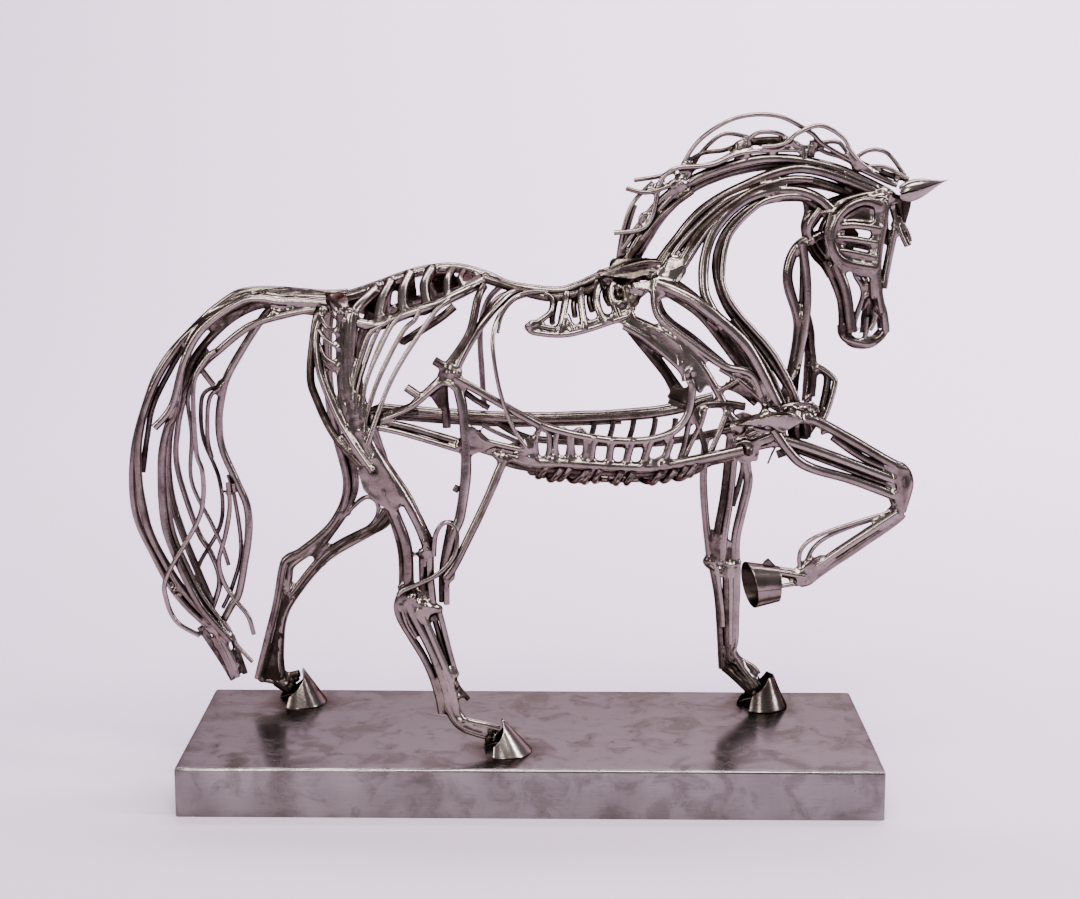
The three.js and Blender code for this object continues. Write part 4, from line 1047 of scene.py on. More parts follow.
@dataclass
class FlankNear(WeldedWork):
    """The near flank: the stifle joint, the long bar down to the hock and the rods along the belly."""

    rods: tuple[Rod, ...] = (
        rod(R, DARK, (-34, -30, 369), (-38, -38, 361), (-44, -41, 337), (-58, -43, 316), (-63, -43, 311)),
        rod(R, LIGHT, (-9, -6, 363), (-19, -18, 360), (-36, -36, 342), (-50, -43, 318), (-53, -44, 306)),
        rod(R, DARK, (-13, -2, 362), (-24, -14, 358), (-33, -26, 347), (-50, -40, 320)),
        rod(R + 0.6, DARK, (-68, -44, 318.5), (-56, -42, 310.5)),
        rod(R + 0.6, MID, (-88, -40, 299), (-76, -42, 291)),
        rod(H, LIGHT, (-54, -44, 308), (-48, -46, 282), (-46, -48, 244), (-50, -50, 210), (-55, -51, 196),
            (-61, -51, 168)),
        rod(T, BLACK, (-57, -47, 205), (-63, -48, 172), (-63.5, -48, 146)),
        side(T, LIGHT, -51, (-61, 170), (-60, 160), (-60, 145)),
        rod(R, LIGHT, (-54, -46, 307), (-14, -46, 284), (5, -44, 273)),
        side(T, DARK, -43, (-52, 300), (-40, 291), (-30, 285)),
        side(R, DARK, (-40, -43), (-121, 274), (-88, 284), (-80, 290), (-60, 309)),
        rod(T, LIGHT, (-106, -44, 276), (-84, -44, 286), (-66, -45, 301), (-59, -46, 303), (-53, -47, 299)),
        side(R, MID, -42, (-116, 276), (-84, 270), (0, 244.5)),
        side(T, LIGHT, -45, (-108, 271), (-90, 267), (-48, 254.5)),
        rod(T, BRIGHT, (-38, -46, 267), (-32, -46, 262), (-8, -45, 256)),
        side(W, MID, -42, (-35, 273), (-28, 269), (-8, 260)),
        side(T, DARK, -34, (-118, 282), (-92, 280), (-80, 280)),
        rod(R + 0.4, MID, (-18, -45, 249), (-22, -45, 243), (-33, -48, 217), (-53, -54, 176),
            (-60, -54, 166)),
        side(R, DARK, -38, (-62, 302), (-61, 288), (-60, 270)),
        rod(T, DARK, (-52, -47, 230), (-54, -47, 226)),
    )
    plates: tuple[Plate, ...] = (
        flat(3.4, LIGHT, -46, (-48, 275), (-40, 272), (-33, 266), (-25, 259), (-34, 255), (-42, 252),
            (-48, 250)),
        plate(3.4, MID, (-64, -44, 312), (-56, -45, 316), (-50, -45, 312), (-49, -46, 300), (-55, -45, 298),
            (-64, -44, 304)),
        plate(3, MID, (-60, -52, 176), (-52, -53, 176), (-54, -53, 164), (-60, -52, 158), (-63, -52, 166)),
        flat(2.6, DARK, -40, (-74, 296), (-62, 304), (-60, 284), (-66, 284)),
    )
    lumps: tuple[Lump, ...] = (
        (-57, -44, 310, 5.4), (-52, -45, 310, 4.6), (-54, -45, 303, 4.4), (-62, -43, 308, 4),
        (-113, -42, 276, 4.6), (-119, -40, 277, 4.4), (-46, -46, 266, 4.2), (-44, -46, 256, 4),
        (-21, -44, 250, 5), (-15, -43, 249, 4.2), (-6, -43, 256, 5), (-58, -53, 170, 4.2),
        (-60, -52, 163, 3.4), (-12, -5, 363, 4.4), (-35, -28, 369, 4), (-26, -44, 252, 3.6),
        (-104, -42, 278, 3.4), (-50, -46, 258, 3.2),
    )


class Barrel(WeldedWork):
    """The barrel: ladders along both flanks, a slatted keel and the thin ribs that hang from the back."""

    def draw(self) -> None:
        """Bend the rails, lay the rungs and hang the ribs."""
        near = -42
        self.rods = [
            side(R, BRIGHT, near, (-4, 280), (12, 271), (45, 263.5), (75, 262), (96, 267), (108, 279),
                (112, 298), (110, 306)),
            side(T, DARK, near + 4, (0, 274), (12, 268), (30, 263), (60, 258.5), (80, 259), (96, 263)),
            side(H, LIGHT, near, (-22, 252), (0, 246.5), (20, 246), (62, 243.5), (95, 244.5), (148, 256)),
            side(R, DARK, near + 5, (-24, 247), (0, 241), (62, 238), (95, 239.5), (142, 250)),
            rod(3, BRIGHT, (10, -7, 362), (0, -11, 363), (-10, -16, 361), (-18, -26, 356), (-24, -38, 348),
                (-27, -45, 338), (-27, -49, 325), (-22, -50, 297), (-13, -48, 272), (-3, -46, 257)),
            rod(2.2, LIGHT, (8, -5, 361), (-4, -8, 360), (-14, -18, 357), (-21, -32, 349), (-24, -43, 338)),
            rod(T, MID, (-22, 6, 366), (-32, 24, 354), (-38, 36, 336), (-39, 42, 316), (-36, 44, 270)),
            rod(B, MID, (-118, 44, 270), (-108, 44, 268), (-20, 42, 263), (42, 42, 264), (95, 42, 268.5),
                (134, 40, 279)),
            rod(T, DARK, (-104, 46, 262), (-20, 45, 257.5), (66, 45, 260)),
            rod(R, DARK, (-30, 42, 262), (-10, 42, 250), (10, 42, 246), (75, 42, 244), (105, 42, 246),
                (150, 41, 256)),
            side(R, DARK, 0, (-2, 231), (50, 226), (80, 226.5), (112, 230), (124, 236)),
        ]
        for top, foot in ((44, 41), (57, 54), (71, 66), (84, 78), (98, 93)):
            self.rods.append(side(R, LIGHT, near, (top, 264), ((top + foot) / 2 - 0.5, 254), (foot, 245)))
        for x in (3, 17, 28.5):
            self.rods += [
                side(T, BRIGHT, near, (x + 1, 268), (x - 0.5, 262), (x, 254), (x + 1.5, 247)),
                side(T, LIGHT, near, (x + 9, 267), (x + 9.5, 261), (x + 9, 254), (x + 7, 247)),
                side(W, LIGHT, near, (x + 1, 268), (x + 5, 270.5), (x + 9, 267)),
            ]
        for x in (46, 60, 75, 91, 106):
            self.rods.append(rod(T, DARK, (x, 42, 263), (x - 1, 42, 255), (x - 4, 42, 245)))
        self.plates = [
            flat(3, LIGHT, -44, (-10, 258), (-2, 266), (2, 262), (2, 248), (-8, 249)),
            flat(3, MID, -43, (84, 249), (92, 252), (100, 249), (98, 243), (86, 242)),
        ]
        self.lumps = [
            (-3, -44, 257, 4.6), (-1, -43, 250, 4.2), (4, -43, 247, 3.2), (14, -43, 248, 3.2),
            (25, -43, 248, 3.2), (36, -43, 247, 3.2), (41, -43, 246, 3.4), (54, -43, 245, 3.4),
            (66, -43, 245, 3.6), (78, -43, 245, 3.6), (93, -43, 246, 3.6), (44, -43, 264, 3),
            (57, -43, 262, 3), (71, -43, 262, 3), (84, -43, 263, 3), (98, -43, 267, 3),
            (110, -42, 248, 3.4), (128, -42, 252, 3.4), (0, -42, 277, 3.4), (110, -42, 304, 3.4),
            (-2, 0, 231, 3.4), (122, 0, 236, 3.4), (130, 41, 278, 4), (-110, 44, 269, 4),
            (8, -20, 232, 2.6), (60, -20, 229, 2.6), (100, -20, 231, 2.6),
        ]

    def extra(self, shop: Workshop) -> list[bpy.types.Mesh]:
        """Lay the keel's ribs from the middle rod up to the near rail."""
        marks = [Vector(p) * MM for p in ((4, 0, 229), (40, 0, 226), (80, 0, 226), (116, 0, 231))]
        rail = line_mesh([Line(marks, [0.004] * 4, LIGHT)])
        ribs = grown(rail, shop.rib_tree, {
            "Count": 16, "Reach": (0.007, -0.044, 0.015), "Bow": (-0.002, -0.038, 0.0), "Gauge": 5.0 * MM,
            "Seed": self.seed, "Material": shop.rod_steel})
        if "tone" not in ribs.attributes:
            ribs.attributes.new("tone", "FLOAT", "POINT")
        # Painted shade: the ribs darken from the near rail towards the middle rod under the belly.
        tones = [0.1 + 0.7 * min(1.0, max(0.0, -vert.co.y / 0.04)) for vert in ribs.vertices]
        ribs.attributes["tone"].data.foreach_set("value", tones)
        return [ribs]


@dataclass
class Shoulder(WeldedWork):
    """The withers ladder, the shoulder fans of both sides and the struts behind the elbow."""

    rods: tuple[Rod, ...] = (
        rod(T, BRIGHT, (-3, -26, 339.5), (2, -26, 336), (26, -26, 335), (60, -24, 345), (72, -22, 349)),
        rod(T, MID, (0, -24, 341.5), (14, -24, 338.5), (28, -24, 339), (54, -23, 347), (66, -21, 351)),
        rod(T, MID, (8, -7, 361), (13, -12, 359), (14, -17, 354), (11, -21, 348), (-2, -26, 340)),
        rod(R, LIGHT, (24, -8, 361), (23, -14, 356), (20, -24, 341), (18, -25, 336)),
        rod(T, LIGHT, (24, -20, 348), (27, -24, 341), (29, -25, 337)),
        rod(R, LIGHT, (35, -8, 364), (34, -14, 358), (36, -24, 343), (36, -25, 339)),
        rod(R, LIGHT, (47, -9, 368), (45, -14, 361), (46, -20, 353), (51, -25, 343)),
        rod(R, MID, (58, -10, 372), (55, -15, 364), (57, -20, 356), (61, -23, 346)),
        rod(R, DARK, (69, -12, 372), (66, -16, 364), (70, -21, 351)),
        rod(T, DARK, (17, -4, 360), (14, -12, 346), (14, -18, 342)),
        rod(T, DARK, (30, -4, 361), (29, -8, 353), (30, -14, 346)),
        rod(T, DARK, (41, -4, 365), (40, -8, 357), (42, -14, 350)),
        rod(R, BLACK, (52, -6, 370), (52, -10, 361), (55, -15, 355)),
        rod(R, BLACK, (64, -6, 374), (62, -10, 364), (64, -16, 357)),
        rod(R, LIGHT, (52, -22, 344), (62, -22, 347), (72, -22, 345), (98, -27, 332), (120, -30, 312),
            (142, -34, 274)),
        rod(R, LIGHT, (64, -25, 341), (80, -26, 332), (104, -29, 312), (108, -31, 303)),
        rod(B, LIGHT, (88, -20, 370), (100, -24, 366), (118, -28, 356), (150, -31, 328), (173, -31, 287)),
        rod(R, DARK, (96, -20, 363), (115, -24, 351), (128, -26, 337), (150, -28, 308)),
        rod(R, BRIGHT, (85, -21, 366), (89, -24, 347), (112, -29, 329), (135, -31, 313.5), (155, -31, 307),
            (165, -31, 283)),
        rod(R, BLACK, (74, -14, 362), (68, -16, 352), (66, -18, 342), (74, -20, 331), (93, -24, 308),
            (100, -26, 296), (107, -28, 287)),
        side(T, MID, -31, (132, 312), (143, 305), (161, 290), (166, 284)),
        side(T, DARK, -27, (136, 300), (148, 294), (158, 286)),
        rod(R, DARK, (64, 14, 350), (76, 20, 332), (110, 38, 284)),
        rod(H, DARK, (94, 10, 372), (118, 24, 354), (142, 32, 326), (168, 34, 284)),
        rod(R, DARK, (88, 14, 366), (94, 20, 344), (118, 28, 324), (146, 34, 300), (164, 34, 286)),
        rod(T, MID, (112, -40, 303), (112, -40, 290), (108, -39, 262), (104, -40, 248)),
        rod(T, LIGHT, (121, -38, 283), (118, -38, 272), (112, -38, 260), (106, -40, 247)),
        rod(T, DARK, (114, -38, 281), (122, -38, 256), (124, -39, 243)),
        rod(T, LIGHT, (136, -36, 279), (132, -37, 268), (122, -39, 243)),
        rod(R, BLACK, (112, -37, 280), (120, -34, 286), (136, -33, 287), (150, -33, 285)),
        side(T, DARK, -37, (96, 290), (106, 286), (116, 284)),
        side(T, DARK, -33, (131, 296), (138, 300), (144, 304)),
    )
    plates: tuple[Plate, ...] = (
        plate(6, BRIGHT, (84, -19, 373), (96, -18, 380), (107, -17, 384), (105, -18, 377), (98, -20, 371),
            (106, -22, 362), (98, -22, 364), (92, -22, 366), (88, -22, 356), (84, -21, 365), (72, -19, 366),
            (70, -18, 371)),
        plate(3, MID, (60, -23, 349), (72, -24, 347), (90, -27, 338), (106, -29, 327), (104, -29, 317),
            (90, -27, 326), (74, -25, 337), (60, -24, 342)),
        plate(3.4, LIGHT, (104, -30, 326), (114, -30, 322), (122, -31, 312), (125, -32, 300),
            (118, -32, 298), (112, -32, 298), (106, -31, 306)),
        plate(3, BLACK, (95, -27, 292), (102, -28, 298), (110, -30, 298), (112, -30, 284), (100, -28, 284)),
        flat(2.6, DARK, -30, (132, 298), (146, 306), (156, 300), (162, 288), (150, 292)),
    )
    lumps: tuple[Lump, ...] = (
        (-3, -26, 340, 4), (0, -25, 343, 3.2), (48, -22, 349, 3.4), (36, -23, 344, 3), (20, -24, 341, 3),
        (92, -19, 371, 5.6), (98, -18, 376, 4.2), (103, -18, 380, 3.4), (82, -18, 369, 4.4),
        (99, -21, 366, 3.8), (90, -21, 362, 3.8), (58, -12, 368, 4.4), (62, -20, 356, 4),
        (72, -18, 358, 4.6), (76, -16, 364, 5), (60, -22, 347, 4.2), (53, -24, 345, 3.6),
        (68, -22, 348, 4.2), (111, -31, 309, 4.4), (114, -31, 304, 3.2), (130, -31, 345, 3.4),
        (118, -32, 297, 3.6), (164, -31, 289, 4.2), (171, -31, 287, 4.4), (144, -33, 276, 4.2),
        (83, -20, 322, 3), (92, -22, 320, 2.8), (112, -40, 300, 3.2), (110, -38, 280, 3.6),
        (124, -39, 246, 3.6), (106, -40, 248, 3.4), (136, -36, 280, 3.4), (121, -38, 282, 3.2),
        (72, -17, 368, 4.6), (66, -15, 366, 4.2), (108, -30, 318, 3.2),
    )


@dataclass
class Chest(WeldedWork):
    """The elbow plates and the bars that tie the two forelegs together."""

    rods: tuple[Rod, ...] = (
        rod(H, LIGHT, (140, -37, 271), (164, -39, 278.5), (194, -36, 277), (204, -35, 273)),
        rod(R, MID, (142, -34, 262), (150, -34, 264), (160, -34, 268), (170, -35, 266)),
        rod(R, LIGHT, (152, -20, 252), (174, -30, 259), (184, -33, 257)),
        side(R, MID, (-38, 38), (160, 277), (168, 271), (166, 262)),
        rod(R, MID, (182, -38, 279), (188, -10, 277), (186, 14, 272), (170, 34, 279)),
        rod(R, DARK, (150, -34, 263), (152, 0, 256), (154, 40, 254)),
        rod(T, DARK, (186, -33, 276), (187, -33, 262)),
        rod(R, DARK, (193, -26, 276), (195, -27, 262)),
        rod(T, MID, (172, -37, 276), (176, -37, 268), (180, -36, 260)),
        rod(R, DARK, (173, -34, 251), (181, -34, 254)),
        side(1.4, LIGHT, -32, (167, 244), (170, 252), (172, 256)),
        rod(T, MID, (163, -33, 292), (164, -34, 284), (164, -36, 278)),
        side(T, MID, (-24, -32), (181, 290), (182, 283), (183, 279)),
        rod(W, LIGHT, (176, -32, 285), (184, -32, 287), (196, -30, 286)),
        side(T, DARK, -26, (197, 286), (200, 283), (202, 280)),
    )
    plates: tuple[Plate, ...] = (
        plate(5, BRIGHT, (143, -41, 273.5), (150, -42, 277.5), (158, -43, 280), (168, -43, 281.5),
            (178, -42, 282), (186, -41, 281), (190, -40, 277), (182, -41, 272), (175, -42, 268),
            (168, -42, 271.5), (162, -43, 274.5), (154, -42, 274.5)),
        plate(4, LIGHT, (145, -39, 261.5), (156, -39, 263), (166, -38, 266), (177, -37, 271),
            (178, -37, 266), (168, -38, 261), (160, -39, 258), (152, -39, 258)),
        flat(4, LIGHT, -38, (141, 260), (150, 263), (160, 259), (160, 252), (154, 246), (146, 246),
            (140, 253)),
        plate(3, BLACK, (180, -20, 276), (198, -20, 275), (203, -22, 270), (196, -24, 260), (182, -26, 262)),
        plate(3, BLACK, (146, -28, 272), (158, -28, 274), (168, -28, 268), (160, -26, 266), (150, -28, 264)),
        plate(3.4, MID, (140, 42, 262), (156, 42, 268), (168, 40, 264), (160, 44, 250), (146, 46, 246)),
    )
    lumps: tuple[Lump, ...] = (
        (144, -39, 258, 4), (152, -40, 255, 4.4), (157, -38, 250, 3.4), (186, -38, 280, 5),
        (194, -36, 279, 4.6), (182, -35, 282, 4.6), (190, -33, 281, 4.4), (186, -34, 276, 4),
        (176, -38, 270, 3.6), (146, -37, 269, 4), (164, -37, 282, 4.2), (172, -37, 266, 3.8),
        (151, -28, 252, 4.2), (201, -26, 283, 3.4), (197, -28, 280, 3.2), (148, -26, 258, 3.6),
        (168, -33, 262, 3.4), (178, -34, 262, 3.2), (166, 38, 262, 4), (154, 42, 252, 4.2),
    )


@dataclass
class ForelegRaised(WeldedWork):
    """The near foreleg, raised and bent at the knee."""

    rods: tuple[Rod, ...] = (
        rod(H, MID, (190, -36, 278), (205, -35, 273), (252, -35, 246.5), (260, -35, 243), (265, -35, 238),
            (266.5, -35, 229), (262, -35, 211)),
        side(R, MID, -34, (212, 264), (234, 249), (258, 239)),
        rod(H, BRIGHT, (174, -37, 263), (200, -37, 255), (263, -34, 231)),
        side(T, DARK, -34, (182, 256), (240, 234.5), (260, 228)),
        rod(H, LIGHT, (170, -38, 270), (180, -38, 256), (194, -37, 243.5), (228, -35, 233), (260, -35, 221)),
        rod(H, MID, (263, -35, 240), (264, -37, 228), (263, -36, 216), (259, -35, 209)),
        side(R, DARK, -33, (256, 220), (258, 214), (254, 209)),
        rod(R + 0.6, BRIGHT, (259, -37, 210), (220, -37, 183), (203, -36, 170)),
        side(H, MID, -34, (263, 209), (255, 201.5), (206, 166), (198, 159.5), (192, 158)),
        side(W, BRIGHT, -35, (254, 210), (207, 194), (192, 182), (192, 166)),
        rod(W, LIGHT, (250, -33, 207), (216, -33, 194), (201, -33, 183), (195, -34, 168)),
        side(T, LIGHT, -35, (196, 165.5), (186, 166.5), (175, 168)),
        side(T, BRIGHT, -37, (195, 163), (184, 165), (172, 167)),
        side(T, DARK, -33, (195, 160.5), (184, 162.5), (172, 164.5)),
        side(W, LIGHT, -35, (193, 157), (185, 156.5), (172, 154)),
    )
    plates: tuple[Plate, ...] = (
        flat(6, LIGHT, -35, (189, 164), (193, 168), (199, 174), (205, 178), (211, 178), (208, 171),
            (202, 164), (196, 157), (190, 156)),
        flat(3, MID, -36, (161, 167), (166, 174), (169, 176.5), (173, 172), (178, 168), (170, 165)),
        flat(8.5, LIGHT, -35, (257, 243), (266, 243), (269, 233), (266, 215), (262, 208), (257, 208),
            (260, 220), (259, 232)),
    )
    lumps: tuple[Lump, ...] = (
        (258, -35, 241, 4.4), (262, -35, 240, 4.2), (259, -35, 235, 3.6), (260, -35, 222, 3.8),
        (261, -35, 212, 4.4), (254, -35, 208, 4.2), (206, -35, 175, 4.2), (197, -35, 166, 4.4),
        (192, -35, 161, 4.4), (191, -35, 166, 3.2), (172, -35, 166, 2.8), (205, -34, 267, 2.6),
        (249, -35, 207, 3.4), (196, -35, 159, 4),
    )


@dataclass
class ForelegStanding(WeldedWork):
    """The far foreleg, which stands on the plinth."""

    rods: tuple[Rod, ...] = (
        rod(R, MID, (132, 50, 250), (129, 52, 240), (129, 55, 204), (135, 55, 150)),
        rod(R + 0.6, DARK, (148, 48, 252), (147, 52, 236), (144.5, 55, 202), (140, 55, 172), (140, 55, 152)),
        rod(R, LIGHT, (152, 48, 252), (151.5, 52, 238), (149.5, 54, 204), (145.5, 54, 172), (145, 55, 152)),
        rod(H, LIGHT, (160, 48, 250), (159, 52, 236), (161, 54, 222), (162, 54, 210), (154.5, 55, 172),
            (154, 55, 152)),
        rod(T, DARK, (154, 51, 240), (158, 53, 224), (151, 54, 194)),
        side(R, DARK, 55, (137, 146), (142, 118), (146, 66)),
        side(T, BRIGHT, 53, (140, 146), (144.5, 114), (145.5, 100)),
        side(R, DARK, 54, (147, 146), (149.5, 84), (152, 72)),
        rod(H, LIGHT, (154.5, 55, 146), (154.5, 55, 92), (153.5, 55, 80), (163, 56, 64), (177, 56, 48)),
        side(T, BRIGHT, 53, (150, 146), (151, 126), (151.5, 86)),
        side(T, MID, 57, (153, 82), (158, 74), (170, 66), (174, 61)),
        side(R, BLACK, 55, (147, 67), (161, 54), (173, 42)),
        rod(R, DARK, (129, 52, 246), (146, 48, 254), (160, 48, 252)),
    )
    plates: tuple[Plate, ...] = (
        flat(4, DARK, 55, (134, 170), (140, 168), (141, 154), (135, 154)),
        flat(3.4, DARK, 55, (146, 160), (154, 160), (154, 152), (146, 152)),
        flat(3, BLACK, 55, (144, 78), (149, 78), (151, 66), (145, 63)),
    )
    lumps: tuple[Lump, ...] = (
        (134, 54, 150, 5), (138, 54, 148, 4.2), (147, 55, 149, 3.6), (154, 54, 149, 5.2),
        (141, 55, 153, 3.2), (150, 54, 147, 4), (147, 55, 67, 3.6), (153, 55, 72, 3.8), (168, 56, 62, 3.8),
        (172, 56, 57, 4.2), (155, 49, 250, 4.4), (132, 51, 248, 4), (136, 55, 166, 3.4), (166, 56, 55, 3.6),
    )


@dataclass
class Neck(WeldedWork):
    """The neck: crest rods, middle rods, two bows at the front and the throat rods with the chest hook."""

    rods: tuple[Rod, ...] = (
        side(H, LIGHT, -2, (64, 378), (68, 388), (87, 418), (112, 441), (150, 454.5), (180, 456.3),
            (216, 448.5), (246, 435)),
        side(H - 1, MID, 3, (70, 376), (74, 387), (94, 418.5), (119, 439), (160, 451), (200, 449.5),
            (240, 434)),
        side(T, DARK, -6, (66, 380), (72, 392), (90, 416), (112, 434)),
        side(T, LIGHT, -4, (62, 392), (86, 424), (106, 441)),
        rod(H, MID, (84, -12, 376), (99, -8, 397), (124, -6, 424.5), (172, -6, 447.5), (202, -6, 448),
            (244, -6, 432)),
        rod(R, LIGHT, (92, -14, 376), (104, -12, 397), (126, -10, 420), (142, -9, 431), (176, -7, 442),
            (196, -6, 442)),
        rod(H - 0.6, DARK, (99, -16, 376), (119, -13, 408), (146, -10, 429.5), (162, -8, 437.5),
            (180, -6, 441.5), (198, -5, 441), (226, -3, 432), (242, -2, 430)),
        rod(T, BRIGHT, (104, -18, 378), (121, -14, 405), (130, -13, 414)),
        rod(H, LIGHT, (210, -10, 421), (203, -10, 427.5), (194, -9, 432.5), (182, -8, 435), (166, -8, 434),
            (150, -9, 428.5), (136, -11, 418), (126, -14, 405), (121, -18, 390), (119.5, -22, 375),
            (122, -26, 360), (134, -30, 340)),
        rod(R + 0.4, DARK, (206, -6, 418), (198, -6, 425), (186, -6, 430), (160, -8, 426.5), (137, -12, 408),
            (128.5, -18, 383), (137, -22, 354), (161, -23, 326), (180, -23, 299), (186, -24, 284)),
        rod(T, BRIGHT, (195, -9, 429), (184, -10, 431.5), (170, -10, 430), (157, -11, 424), (138, -14, 404),
            (133, -20, 378), (136, -23, 364), (145, -25, 350), (169, -26, 323), (184, -26, 297),
            (188, -27, 286)),
        rod(T, DARK, (140, -26, 346), (164, -27, 314), (178, -27, 286)),
        rod(H, MID, (205, -4, 404), (197, -4, 401.5), (188, -5, 396), (183, -5, 388), (180.5, -6, 377),
            (182, -6, 365), (189, -6, 342), (187, -6, 316), (181, -6, 288), (181, -8, 278)),
        rod(R, BRIGHT, (190, -10, 398), (194, -10, 372), (194, -10, 344), (187.5, -9, 302), (186, -10, 286)),
        side(T, DARK, -6, (189, 395), (191, 380), (191, 350)),
        rod(H, MID, (193, -1, 352), (198, -1, 332), (198, -1, 302), (197, -3, 284)),
        rod(R, DARK, (197, -4, 336), (201, -4, 308), (200, -5, 288)),
        rod(R, DARK, (197, -3, 311), (209, -5, 306), (211, -6, 298), (207, -8, 277), (203, -10, 268)),
        rod(T, BRIGHT, (204, -6, 310), (215, -8, 302), (215.5, -9, 295), (210, -11, 276), (206, -12, 270)),
        rod(H, DARK, (90, 12, 380), (104, 11, 398), (122, 10, 416), (146, 8, 430), (176, 6, 440),
            (206, 6, 438), (232, 6, 430)),
    )
    plates: tuple[Plate, ...] = (
        plate(4, BRIGHT, (88, -15, 376), (96, -15, 388), (106, -17, 386), (108, -18, 378), (104, -19, 372),
            (92, -18, 370)),
        plate(3, DARK, (178, -24, 288), (182, -24, 300), (190, -10, 312), (188, -10, 284)),
    )
    lumps: tuple[Lump, ...] = (
        (192, -6, 397, 4.4), (197, -5, 401, 4.6), (191, -7, 347, 3.6), (194, -4, 342, 3.4),
        (104, -3, 439, 5), (98, -4, 436, 3.8), (84, -3, 413, 4), (80, -4, 409, 3.6), (131, -29, 345, 3.8),
        (168, -8, 437, 3.4), (232, -2, 438, 4.2), (226, -3, 442, 3.6), (186, -22, 285, 4.4),
        (181, -14, 281, 4.4), (197, -6, 286, 4), (202, -5, 307, 3.6), (205, -5, 308, 3.2),
        (206, -11, 272, 3.4), (95, -15, 380, 4.6), (102, -16, 380, 4.6), (66, -3, 384, 5), (70, -1, 380, 5),
        (88, -11, 380, 4.6), (203, -4, 404, 4.4),
    )


@dataclass
class Mane(WeldedWork):
    """The mane: thin wires that wave above the crest on short posts, with a few loose ends."""

    rods: tuple[Rod, ...] = (
        rod(W, LIGHT, (106, -3, 444), (105, -3, 452), (118, -4, 471), (142, -5, 485), (170, -5, 486.5),
            (193, -5, 475.5), (203, -4, 467), (226, -3, 454)),
        rod(W, MID, (110, 1, 446), (118, 3, 460), (133, 5, 473), (150, 5, 471.5), (158, 4, 467),
            (168, 4, 465), (178, 4, 466)),
        rod(W, LIGHT, (150, -6, 470), (158, -7, 475), (172, -6, 474), (188, -4, 464)),
        rod(W, BRIGHT, (160, -7, 465), (170, -8, 466), (178, -9, 469), (185, -9, 475), (200, -9, 480),
            (216, -8, 472), (222, -7, 463), (230, -5, 454), (238, -4, 448)),
        rod(W, MID, (199, 3, 467), (212, 3, 468.5), (218, 2, 465), (228, 0, 450)),
        rod(W, MID, (226, 4, 455), (230, 5, 459), (237, 5, 462.5), (245, 5, 462.5), (252, 4, 458.5),
            (262, 1, 445)),
        rod(W, LIGHT, (230, -3, 451), (248, -2, 451), (262, -5, 443)),
        side(W, DARK, 0, (104, 448), (110, 455), (120, 460.5), (135, 462.5), (152, 470)),
        side(W, MID, -5, (108, 449), (130, 455), (146, 465)),
        rod(W + 0.4, BRIGHT, (57, -6, 404.5), (74, -7, 406.5), (81, -7, 411), (85, -7, 420), (89, -7, 440),
            (95, -7, 447), (103, -7, 450.5), (125, -7, 452.5), (146, -6, 460.5), (176, -4, 463),
            (192, -4, 462)),
        rod(W, LIGHT, (71, 1, 441), (90, 1, 444), (100, 0, 448)),
        rod(W, MID, (65, -9, 436), (80, -9, 433), (97, -6, 438)),
        rod(W, LIGHT, (60, -4, 384), (63, -6, 404), (70, -6, 425), (84, -4, 440)),
        side(W, MID, -4, (64, 388), (65, 400), (72, 424)),
        rod(R, BLACK, (144, -2, 453), (143, -2, 466)),
        rod(R, LIGHT, (150, -3, 455), (149, -3, 467)),
        side(R, BLACK, 2, (152, 468), (164, 469), (178, 469)),
        rod(R, DARK, (168, -2, 457), (168, -2, 465)),
        rod(R, LIGHT, (190, -3, 457), (189, -3, 466)),
        rod(R, DARK, (195, 1, 458), (197, 1, 469)),
        rod(T, DARK, (108, -1, 438), (106, -1, 448)),
        rod(T, LIGHT, (78, -5, 408), (76, -6, 414), (79, -6, 418), (83, -5, 415)),
        rod(W, MID, (196, 2, 466), (206, 1, 461), (216, 0, 458), (226, 0, 453), (232, 0, 448)),
        rod(T, LIGHT, (232, -4, 449), (250, -4, 441), (256, -5, 439)),
        rod(T, DARK, (228, 1, 456), (234, 1, 452), (258, -1, 443)),
    )
    lumps: tuple[Lump, ...] = (
        (104, -3, 441, 6.2), (98, -4, 438, 5.2), (109, -2, 446, 4.8), (112, -3, 450, 3.6),
        (80, -5, 415, 4.2), (144, -2, 466, 4), (150, -2, 468, 4.4), (147, -2, 463, 3.4),
        (168, -2, 462, 3.6), (190, -2, 464, 3.4), (197, 0, 466, 4.2), (184, -3, 467, 3.6),
        (228, -2, 452, 4.6), (234, -2, 449, 4.2), (224, -2, 456, 3.4), (237, 0, 451, 3.4),
        (262, -3, 443, 3.4), (88, -5, 437, 3.4), (64, -4, 390, 3.4), (176, -1, 468, 3.4),
    )


